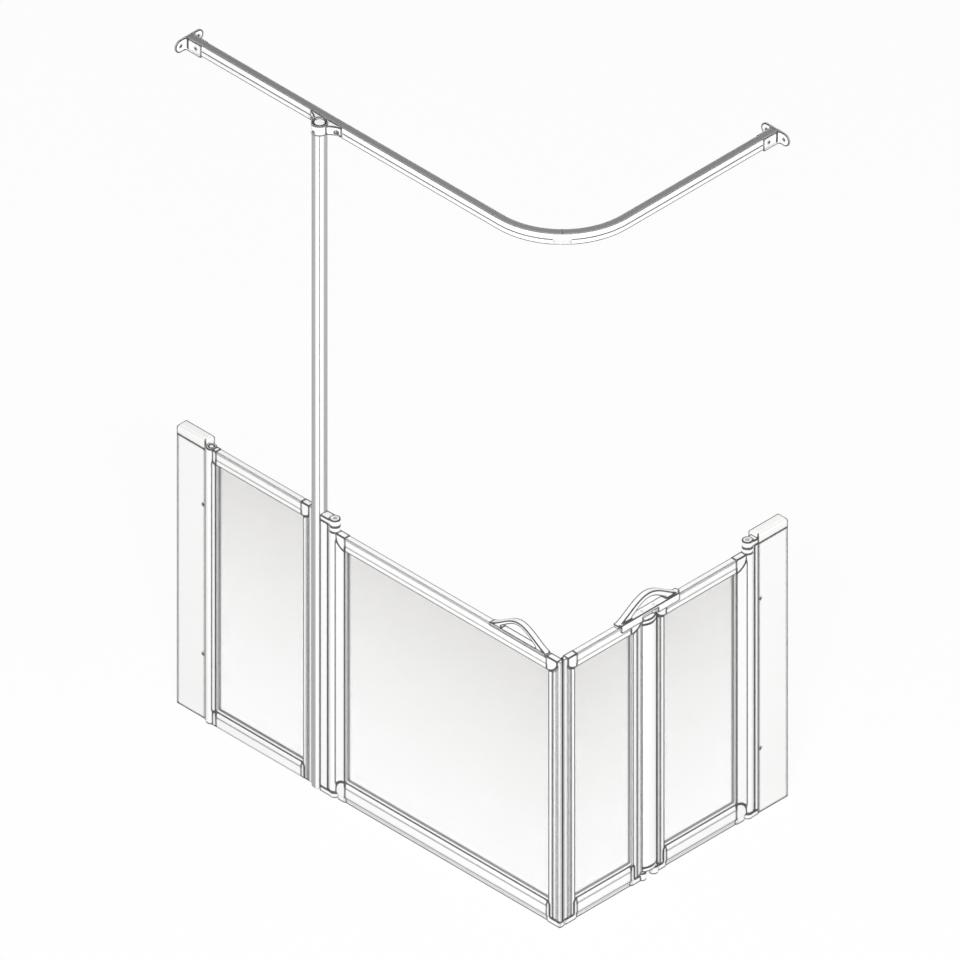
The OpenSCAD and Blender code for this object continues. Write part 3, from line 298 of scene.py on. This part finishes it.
# %% Finishes by slot
PAINT_WHITE = (0.9, 0.9, 0.895)
MOULDING_WHITE = (0.89, 0.89, 0.88)
EDGE_GREY = (0.035, 0.035, 0.037)
PALE_EDGE = (0.1, 0.1, 0.1)
# Near black: dark plastic, drawn lines, and painted shade in gaps
GAP_BLACK = (0.03, 0.03, 0.03)
PAINT_ROUGHNESS = 0.42


def paint_finish(name, **lines):
    return opaque_finish(name, PAINT_WHITE, EDGE_GREY, PAINT_ROUGHNESS, **lines)


def moulded_finish(name, edge_radius):
    return opaque_finish(name, MOULDING_WHITE, EDGE_GREY, 0.36, grain=0.0025, bump=0.00001,
                         edge_radius=edge_radius)


MATERIALS = {
    "white_profile": paint_finish("white powder coat"),
    "white_moulding": moulded_finish("white moulding", 0.0088),
    "white_handle": opaque_finish("gloss white handle", (0.91, 0.91, 0.905), EDGE_GREY, 0.24,
                                  grain=0.004, bump=0.00001, edge_radius=0.0078, coat=0.3),
    "seal_grey": opaque_finish("grey seal", (0.84, 0.84, 0.84), (0.06, 0.06, 0.06), 0.55,
                               grain=0.002, drift=0.03, edge_radius=0.004, edge_reach=60.0),
    # Dark plastic; the screws' cross bars also use it as painted shade
    "dark_plastic": opaque_finish("dark plastic and painted recess shade", GAP_BLACK, PALE_EDGE, 0.5),
    "washer_grey": opaque_finish("grey washer", (0.36, 0.36, 0.36), PALE_EDGE, 0.5),
    "steel": opaque_finish("brushed steel", (0.55, 0.55, 0.56), (0.25, 0.25, 0.25), 0.3,
                           grain=0.0006, metallic=1.0),
}
print("opaque finishes:", sorted(MATERIALS))

# %% [markdown]
# ## Drawn lines
#
# Some of the drawing's lines are heavier than an edge's own: the one between the magnetic seals,
# the sides of three stiles, and the crease and foot of the curtain rail. Thin dark strips laid on
# the pieces would stand out of the solids. Each line lies at one distance along a direction, so a
# compare on the Object position finds it instead, and a dark colour is laid over the finish.

# %% Helper for drawn lines
def draw_lines(material, direction, places, colour=GAP_BLACK):
    """Dark lines on a finish: each place is (distance along the direction, half width)."""
    tree, base, painted = reopen(material)
    along = vector_calc(tree, "DOT_PRODUCT", object_position(tree), direction, result="Value")
    for place, half_width in places:
        painted = mixed(tree, calc(tree, "COMPARE", along, place, half_width), painted, colour)
    feed(tree, painted, base)


print("line helper ready")

# %% [markdown]
# ## The curtain rail
#
# The floor of the shallow recess along the curtain rail's top is coloured dark grey, so the top's
# edges stay white. The rail is one extrusion, so the dark floor is a mask: it covers only the
# height of the recess's floor, 0.6 mm below the rail's top. Two drawn lines follow the crease
# along the rail's sides, 14 mm up, and the rail's foot. All heights are counted from the solid's
# own box.

# %% Rail finish
RAIL_FOOT, RAIL_TOP = (corner[2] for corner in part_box("curtain_rail_long"))
RECESS_DEPTH = 0.0006
CREASE_HEIGHT = 0.014
CREASE_HALF_WIDTH, FOOT_HALF_WIDTH = 0.0014, 0.0022
RECESS_FLOOR_GREY = (0.2, 0.2, 0.2)
RAIL_LINE = (0.06, 0.06, 0.062)


def rail_finish():
    material = paint_finish("white rail with a dark recess floor", edge_radius=0.0052,
                            edge_reach=100.0)
    tree, base, painted = reopen(material)
    height = axis_values(tree, object_position(tree))["Z"]
    # The recess's floor is coloured dark grey
    in_recess = calc(tree, "COMPARE", height, RAIL_TOP - RECESS_DEPTH, RECESS_DEPTH / 2)
    feed(tree, mixed(tree, in_recess, painted, RECESS_FLOOR_GREY), base)
    draw_lines(material, (0, 0, 1), [(RAIL_FOOT + CREASE_HEIGHT, CREASE_HALF_WIDTH),
                                     (RAIL_FOOT, FOOT_HALF_WIDTH)], RAIL_LINE)
    return material


RAIL_FINISH = rail_finish()
print("rail top at", round(RAIL_TOP, 4), "m")

# %% [markdown]
# ## The pole's sides
#
# The pole is drawn white with a soft grey band down either side, where its round turns away from
# the lamp. That band is painted shade: a mask round the pole's axis covers the parts that lie away
# from the middle of the front and back, and a fine wave inside it gives the shade the look of fine
# flutes. The axis comes from the solid's own box, and the pattern is the same on the front and the
# back. The rim at the pole's top is painted black: painted shade that widens the dark gap round
# the plug.

# %% Pole finish
DIAGONAL = 0.7071
# Shares of the radius where the band begins and where it is full
BAND_START, BAND_FULL = 0.44, 0.56
SIDE_SHADE_GREY = (0.2, 0.2, 0.2)
SHADE_WAVE_RADIANS = 70.0
SHADE_WAVE_WEAKEST, SHADE_WAVE_STRONGEST = 0.62, 0.9
RIM_HEIGHT = 0.001


def pole_finish():
    low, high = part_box("support_pole")
    middle = ((low[0] + high[0]) / 2, (low[1] + high[1]) / 2, 0)
    sideways = DIAGONAL / ((high[0] - low[0]) / 2)
    material = opaque_finish("white pole with painted side shade", (0.88, 0.88, 0.875), EDGE_GREY,
                             PAINT_ROUGHNESS, edge_radius=0.0015)
    tree, base, painted = reopen(material)
    position = object_position(tree)
    across = vector_calc(tree, "SUBTRACT", position, middle)
    side = vector_calc(tree, "DOT_PRODUCT", across, (sideways, sideways, 0), result="Value")
    # Painted shade down both sides of the pole, with a fine wave in it
    band = ramp(tree, calc(tree, "ABSOLUTE", side), BAND_START, BAND_FULL)
    wave = calc(tree, "SINE", calc(tree, "MULTIPLY", side, SHADE_WAVE_RADIANS))
    shade_wave = ramp(tree, wave, start=-1, low=SHADE_WAVE_WEAKEST, high=SHADE_WAVE_STRONGEST)
    side_shaded = mixed(tree, calc(tree, "MULTIPLY", band, shade_wave), painted, SIDE_SHADE_GREY)
    # The top rim is painted black: painted shade that widens the plug's gap
    height = axis_values(tree, position)["Z"]
    on_rim = calc(tree, "GREATER_THAN", height, high[2] - RIM_HEIGHT)
    feed(tree, mixed(tree, on_rim, side_shaded, GAP_BLACK), base)
    return material


POLE_FINISH = pole_finish()
print("pole finish ready")

# %% [markdown]
# ## The pole's plug
#
# The pole's plug is a pale disc that sits in a gap, which is in shade. Part of the gap is the step
# that the solid has round its disc, so everything below the disc's top is painted black as painted
# shade. The drawing's ring is thicker than that step. So the disc's own rim is painted dark as
# well, by its distance from the middle: more painted shade.

# %% Pole plug finish
BELOW_DISC = 0.0006
RING_WIDTH = 0.0044


def plug_finish():
    low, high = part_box("pole_top_plug")
    centre = ((low[0] + high[0]) / 2, (low[1] + high[1]) / 2, high[2])
    material = opaque_finish("pale disc with painted gap shade", (0.9, 0.9, 0.89), EDGE_GREY, 0.4,
                             edge_radius=0.0008)
    tree, base, painted = reopen(material)
    position = object_position(tree)
    # Painted shade: black below the disc's top and on the disc's outer rim
    below = calc(tree, "LESS_THAN", axis_values(tree, position)["Z"], high[2] - BELOW_DISC)
    away = vector_calc(tree, "LENGTH", vector_calc(tree, "SUBTRACT", position, centre),
                       result="Value")
    outer = calc(tree, "GREATER_THAN", away, (high[0] - low[0]) / 2 - RING_WIDTH)
    gap_shade_mask = calc(tree, "MAXIMUM", below, outer)
    feed(tree, mixed(tree, gap_shade_mask, painted, GAP_BLACK), base)
    return material


PLUG_FINISH = plug_finish()
print("pole plug finish ready")

# %% [markdown]
# ## Leaf rails and seals
#
# The rails along the leaves and the panel are slim and have several edges close together. With
# the posts' wide lines these would run into one another, so the rails take finer, harder ones.
# The rail's joiner has fainter lines, and the floor seals are pale. The two magnetic seals meet at
# the outer corner. The drawing's darkest line stands between them, on the upright plane where X
# and Y add up to the same number as at the corner.

# %% Finishes for leaf rails and seals
CORNER = Vector((0.6195, -0.35555, 0))
MEETING_HALF_WIDTH = 0.0032

SLIM_FINISH = paint_finish("slim rails", edge_radius=0.0069, edge_reach=120.0)
JOINER_FINISH = paint_finish("white joiner", edge_radius=0.008, edge_amount=0.5)
FLOOR_SEAL_FINISH = opaque_finish("pale floor seal", (0.88, 0.88, 0.88), EDGE_GREY, 0.5,
                                  edge_radius=0.0085, edge_reach=100.0)
MAGNET_FINISH = opaque_finish("grey magnetic seal", (0.8, 0.8, 0.8), EDGE_GREY, 0.5,
                              edge_radius=0.004)
draw_lines(MAGNET_FINISH, (1, 1, 0), [(CORNER.x + CORNER.y, MEETING_HALF_WIDTH)])

FINISH_OF = {
    "curtain_rail_long": RAIL_FINISH, "curtain_rail_short": RAIL_FINISH,
    "support_pole": POLE_FINISH, "pole_top_plug": PLUG_FINISH, "rail_joiner": JOINER_FINISH,
    "door_floor_seal": FLOOR_SEAL_FINISH, "wall_leaf_floor_seal": FLOOR_SEAL_FINISH,
    "corner_leaf_floor_seal": FLOOR_SEAL_FINISH,
    "door_magnetic_seal": MAGNET_FINISH, "corner_leaf_magnetic_seal": MAGNET_FINISH,
}
print("finishes for single nodes:", len(FINISH_OF))

# %% [markdown]
# ## Lined stiles
#
# Three stiles have heavier lines down their sides. The two closing stiles have one each, on the
# side away from the corner, and the wall leaf's fold stile has one on either side. The places
# come from each solid's own box, so the lines stay on the sides if a size changes.

# %% Finishes for the lined stiles
# Node, the axis along its run (0 is X, 1 is Y), and half widths at its low and its high side
STILE_LINES = (("wall_leaf_fold_stile", 1, (0.004, 0.0042)),
               ("door_closing_stile", 0, (0.0038, 0)),
               ("corner_leaf_closing_stile", 1, (0, 0.0038)))

for node, axis, widths in STILE_LINES:
    places = [(corner[axis], width) for corner, width in zip(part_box(node), widths) if width]
    FINISH_OF[node] = paint_finish("white " + node)
    draw_lines(FINISH_OF[node], (1 - axis, axis, 0), places)
    print(node, "lines:", len(places))

# %% [markdown]
# ## Glazing
#
# The panes are clear sheet, coloured grey at the head and fading to nearly white towards the
# floor. Plain glass would throw a hard dark shadow, because light through a refracting solid is
# lost to a direct lamp. So the shader keeps a full Transmission Weight and a low Alpha: most light
# goes straight through, and the rest bends and reflects as in glass. The grey is the Base Color.
# It follows the height in Object coordinates, from nearly white at the foot to a warm grey at the
# head, while the Alpha goes from an eighth to over a third.

# %% Pane material
GLASS_FOOT, GLASS_HEAD = 0.06, 0.72
FOOT_COLOUR, HEAD_COLOUR = (0.98, 0.972, 0.955), (0.425, 0.402, 0.37)
FOOT_ALPHA, HEAD_ALPHA = 0.12, 0.38


def glazing_finish():
    material, tree, shader = new_material("clear glazing")
    height = axis_values(tree, object_position(tree))["Z"]
    solidity = ramp(tree, height, GLASS_FOOT, GLASS_HEAD, FOOT_ALPHA, HEAD_ALPHA)
    # The colour is grey at the head and fades to nearly white at the foot
    height_colour = mixed(tree, ramp(tree, height, GLASS_FOOT, GLASS_HEAD), FOOT_COLOUR, HEAD_COLOUR)
    feed(tree, solidity, shader.inputs["Alpha"])
    feed(tree, height_colour, shader.inputs["Base Color"])
    shader.inputs["Transmission Weight"].default_value = 1.0
    shader.inputs["Roughness"].default_value = 0.03
    shader.inputs["IOR"].default_value = 1.49
    return material


MATERIALS["glazing"] = glazing_finish()
print("glazing ready")

# %% [markdown]
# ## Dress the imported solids
#
# Each solid keeps its shape. The record says which material slot every node uses, so the right
# finish goes on by name. The leaves' and the panel's rails take the slim finish, and a node with
# a finish of its own takes that one.

# %% Assign the finishes
for name, solid in frame["nodes"].items():
    finish = MATERIALS[SLOT_OF[name]]
    if name.endswith(("_top_rail", "_bottom_rail")):
        finish = SLIM_FINISH
    solid.data.materials.clear()
    solid.data.materials.append(FINISH_OF.get(name, finish))
print("dressed", len(frame["nodes"]), "solids")

# %% [markdown]
# ## The post caps' finish
#
# The post caps' tops are crowned, so much of their outline has no sharp edge to take a line. A
# faint line lies on the crest of the round instead: where it turns halfway from the top to the
# side, which the surface's own upward direction tells. On the inner side, towards the shower,
# where the surface faces more to +Y than to +X and away from the lamp, the whole round is dark
# grey: painted shade.

# %% Cap finish
CREST_TURN, CREST_SPREAD, CREST_AMOUNT = 0.75, 0.06, 0.25
INNER_TURN, INNER_SPREAD, INNER_LEAN = 0.6, 0.395, 0.05


def crest_finish():
    material = moulded_finish("white cap with crest lines and painted shade", 0.009)
    tree, base, painted = reopen(material)
    facing = axis_values(tree, add(tree, "ShaderNodeNewGeometry").outputs["Normal"])
    crest = calc(tree, "COMPARE", facing["Z"], CREST_TURN, CREST_SPREAD)
    faint = calc(tree, "MULTIPLY", crest, CREST_AMOUNT)
    # Painted shade over the inner side's round, which faces away from the lamp
    lean = calc(tree, "SUBTRACT", facing["Y"], facing["X"])
    inner = calc(tree, "GREATER_THAN", lean, INNER_LEAN)
    turned = calc(tree, "COMPARE", facing["Z"], INNER_TURN, INNER_SPREAD)
    inner_shade = calc(tree, "MULTIPLY", turned, inner)
    amount = calc(tree, "MAXIMUM", faint, inner_shade, clamp=True)
    feed(tree, mixed(tree, amount, painted, EDGE_GREY), base)
    return material


CAP_FINISH = crest_finish()
print("cap finish ready")

# %% [markdown]
# ## Rounded mouldings
#
# Handles, caps, hinge arms, brackets and the clamp are moulded, and a mould never leaves a sharp
# edge. The imported solids do have sharp edges, and they can't be changed. So each of them is
# copied: its loose triangles are merged, flat areas are dissolved back to single faces, and every
# edge that turns by more than 30 degrees is bevelled. The bevel cuts into the solid, so the copy
# never stands outside it, and it rides where the solid rode. The narrow rounds take a dark grey,
# so that mouldings and extrusions have the same drawn line.

# %% Helper for a rounded copy
# The rounds are coloured dark grey as a drawn edge line
ROUND_GREY = opaque_finish("dark grey rounds", (0.07, 0.07, 0.072), EDGE_GREY, 0.5, edge_amount=0.3)
MERGE_DISTANCE = 0.00002
FLAT_ANGLE, SHARP_ANGLE = math.radians(0.5), math.radians(30)


def rounded_copy(node, width, body, finish):
    shape = bmesh.new()
    shape.from_mesh(frame["nodes"][node].data)
    bmesh.ops.remove_doubles(shape, verts=shape.verts, dist=MERGE_DISTANCE)
    bmesh.ops.dissolve_limit(shape, angle_limit=FLAT_ANGLE, verts=shape.verts,
                             edges=shape.edges)
    sharp = [edge for edge in shape.edges
             if len(edge.link_faces) == 2 and edge.calc_face_angle(0) > SHARP_ANGLE]
    rounds = bmesh.ops.bevel(shape, geom=sharp, offset=width, offset_type="OFFSET",
                             affect="EDGES", segments=3, profile=0.5, clamp_overlap=True,
                             material=-1)["faces"]
    for face in rounds:
        face.material_index = 1
    bmesh.ops.triangulate(shape, faces=shape.faces)
    for face in shape.faces:
        face.smooth = True
    mesh = bpy.data.meshes.new(node + "_rounded")
    shape.to_mesh(mesh)
    shape.free()
    copy = show(bpy.data.objects.new(node + "_rounded", mesh))
    weighted = copy.modifiers.new("even faces", "WEIGHTED_NORMAL")
    weighted.keep_sharp = True
    mesh.materials.append(finish)
    mesh.materials.append(ROUND_GREY)
    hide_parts(node)
    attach(copy, body)
    print(node, "rounded:", len(sharp), "edges,", len(mesh.polygons), "triangles")


print("rounding helper ready")

# %% [markdown]
# The handles and the post caps get a round of 1.4 mm, the hinge arms one of 1.2 mm, and the clamp,
# the brackets and the fold's small caps one of 1 mm. The post caps take the finish with the crest
# lines, and the others that of their slot. Each copy names the body that it moves with.

# %% Rounded copies
for node, width, body in (
        ("door_handle", 0.0014, "single_door"), ("fold_handle", 0.0014, "fold_link"),
        ("wall_post_caps", 0.0014, "fixed_frame"), ("pole_rail_clamp", 0.001, "fixed_frame"),
        ("rail_wall_brackets", 0.001, "fixed_frame"),
        ("middle_hinge_arms", 0.0012, "fixed_frame"),
        ("right_hinge_arms", 0.0012, "fixed_frame"), ("fold_post_caps", 0.001, "fold_link")):
    finish = CAP_FINISH if node == "wall_post_caps" else MATERIALS[SLOT_OF[node]]
    rounded_copy(node, width, body, finish)

# %% [markdown]
# ## Screws
#
# The screws are small pan heads with a cross recess. A pan head is a turned shape: its side rises
# straight from the surface, then rounds over into a shallow crown. Half of that profile is drawn
# as a few points and spun through a full turn. The recess itself is not cut: the cross is two
# short bars of the dark finish, painted shade where the recess would be, sunk until they stand
# only a hair above the crown.

# %% Helper for a screw
HEAD_RADIUS, HEAD_HEIGHT = 0.0036, 0.0014
# Half of the head's outline, from the middle of its top, in shares of its radius and height
HEAD_PROFILE = ((0, 1), (0.4, 0.97), (0.72, 0.84), (0.93, 0.58), (1, 0.3), (1, 0))
SPIN_STEPS = 32
BAR_LONG, BAR_NARROW, BAR_THICK, BAR_LEVEL = 0.56, 0.13, 0.03, 0.95


def pan_head(gathered, place, outward):
    # One head, drawn upright at the origin, then turned, placed and gathered with the others
    shape = bmesh.new()
    points = [shape.verts.new((across * HEAD_RADIUS, 0, up * HEAD_HEIGHT))
              for across, up in HEAD_PROFILE]
    lines = [shape.edges.new(pair) for pair in zip(points, points[1:])]
    bmesh.ops.spin(shape, geom=points + lines, cent=(0, 0, 0), axis=(0, 0, 1),
                   angle=math.radians(360), steps=SPIN_STEPS, use_merge=True)
    bmesh.ops.remove_doubles(shape, verts=shape.verts, dist=0.000002)
    rim = [edge for edge in shape.edges if edge.is_boundary]
    bmesh.ops.holes_fill(shape, edges=rim, sides=0)
    bmesh.ops.recalc_face_normals(shape, faces=shape.faces)
    for face in shape.faces:
        face.smooth = len(face.verts) < 5
    # Painted shade: two thin dark bars stand where the cross recess would be
    for long_x, long_y in ((BAR_LONG, BAR_NARROW), (BAR_NARROW, BAR_LONG)):
        bar = bmesh.ops.create_cube(shape, size=2 * HEAD_RADIUS)["verts"]
        bmesh.ops.scale(shape, verts=bar, vec=(long_x, long_y, BAR_THICK))
        bmesh.ops.translate(shape, verts=bar, vec=(0, 0, BAR_LEVEL * HEAD_HEIGHT))
        for face in {f for v in bar for f in v.link_faces}:
            face.material_index = 1
    turn = outward.to_track_quat("Z", "Y").to_matrix().to_4x4()
    bmesh.ops.transform(shape, matrix=Matrix.Translation(place) @ turn, verts=shape.verts)
    part = bpy.data.meshes.new("one_head")
    shape.to_mesh(part)
    shape.free()
    gathered.from_mesh(part)
    bpy.data.meshes.remove(part)


print("screw head:", HEAD_RADIUS * 2000, "mm wide")

# %% [markdown]
# The heads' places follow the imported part, in millimetres from its outer corner. Those on the
# long run point to -Y, those on the short run to +X, and the set screw stands on the collar's
# front. The heads of one node are gathered in one mesh, which replaces that node.

# %% Screws
LONG_SIDE, SHORT_SIDE = Vector((0, -1, 0)), Vector((1, 0, 0))
RAIL_SCREW_Z = 1843
LOW_SCREW_Z, HIGH_SCREW_Z = 180, 600


def from_corner(x, y, z):
    return CORNER + Vector((x, y, z)) / 1000


def screw_set(name, node, places):
    gathered = bmesh.new()
    for place, outward in places:
        pan_head(gathered, place, outward)
    mesh = bpy.data.meshes.new(name)
    gathered.to_mesh(mesh)
    gathered.free()
    heads = show(bpy.data.objects.new(name, mesh))
    mesh.materials.append(MATERIALS["steel"])
    # The dark finish paints the recess's shade on the cross bars
    mesh.materials.append(MATERIALS["dark_plastic"])
    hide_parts(node)
    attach(heads, "fixed_frame")
    print(name, len(places), "heads,", len(mesh.polygons), "faces")


screw_set("rail_screw_heads", "rail_screws", [
    (from_corner(-827.5, 25, RAIL_SCREW_Z), LONG_SIDE),
    (from_corner(-751.5, 25, RAIL_SCREW_Z), LONG_SIDE),
    (from_corner(-789.5, -15.5, RAIL_SCREW_Z), LONG_SIDE),
    (from_corner(-1211, 25.8, RAIL_SCREW_Z), LONG_SIDE),
    (from_corner(-25.8, 693, RAIL_SCREW_Z), SHORT_SIDE)])
screw_set("post_screw_heads", "wall_post_screws", [
    (from_corner(-1161, 0, LOW_SCREW_Z), LONG_SIDE),
    (from_corner(-1161, 0, HIGH_SCREW_Z), LONG_SIDE),
    (from_corner(0, 639, LOW_SCREW_Z), SHORT_SIDE),
    (from_corner(0, 639, HIGH_SCREW_Z), SHORT_SIDE)])

# %% [markdown]
# ## Floor
#
# The picture's ground is plain white. A wide disc stands for the floor. To the camera, and in
# what gloss and glass show, it is mostly its own white, so that it never goes grey at a distance.
# The rest is lit, so that it keeps the soft shadow under the screen.

# %% Floor
FLOOR_RADIUS = 16
FLOOR_COLOUR = (0.84, 0.84, 0.84, 1)
OWN_WHITE = 0.93


def make_floor():
    shape = bmesh.new()
    bmesh.ops.create_circle(shape, cap_ends=True, cap_tris=False, segments=96,
                            radius=FLOOR_RADIUS)
    mesh = bpy.data.meshes.new("floor")
    shape.to_mesh(mesh)
    shape.free()
    show(bpy.data.objects.new("floor", mesh))

    material = bpy.data.materials.new("plain floor")
    material.use_nodes = True
    tree = material.node_tree
    tree.nodes.clear()
    paths = add(tree, "ShaderNodeLightPath").outputs
    seen = calc(tree, "MAXIMUM", paths["Is Camera Ray"], paths["Is Glossy Ray"])
    seen_again = calc(tree, "MAXIMUM", seen, paths["Is Transmission Ray"])
    lit = add(tree, "ShaderNodeBsdfDiffuse")
    lit.inputs["Color"].default_value = FLOOR_COLOUR
    glow = add(tree, "ShaderNodeEmission")
    both = add(tree, "ShaderNodeMixShader")
    end = add(tree, "ShaderNodeOutputMaterial")
    feed(tree, calc(tree, "MULTIPLY", seen_again, OWN_WHITE), both.inputs[0])
    feed(tree, lit.outputs["BSDF"], both.inputs[1])
    feed(tree, glow.outputs["Emission"], both.inputs[2])
    feed(tree, both.outputs["Shader"], end.inputs["Surface"])
    mesh.materials.append(material)


make_floor()
print("floor ready")

# %% [markdown]
# ## Light
#
# The world gives even light from all round, and is plain white to the camera. One large lamp
# stands towards the camera, so tops and both runs are about equally bright and only the sides of
# round pieces fall away to grey. On the pole, painted shade deepens that grey.

# %% World and lamp
SKY_LIGHT = 0.66
LAMP_PLACE, LAMP_AIM = Vector((3.4, -3.4, 4.2)), Vector((0, 0, 0.76))
LAMP_SIZE, LAMP_WATTS = 1.2, 215

world = bpy.data.worlds.new("studio")
bpy.context.scene.world = world
world.use_nodes = True
sky = world.node_tree
background = sky.nodes["Background"]
background.inputs["Color"].default_value = (1, 1, 1, 1)
to_camera = add(sky, "ShaderNodeLightPath").outputs["Is Camera Ray"]
feed(sky, ramp(sky, to_camera, low=SKY_LIGHT), background.inputs["Strength"])

lamp_data = bpy.data.lights.new("front_lamp", "AREA")
lamp_data.shape = "DISK"
lamp_data.size = LAMP_SIZE
lamp_data.energy = LAMP_WATTS
lamp = show(bpy.data.objects.new("front_lamp", lamp_data))
lamp.location = LAMP_PLACE
lamp.rotation_euler = (LAMP_PLACE - LAMP_AIM).to_track_quat("Z", "Y").to_euler()
bpy.context.scene.view_settings.view_transform = "Standard"
print("lit")
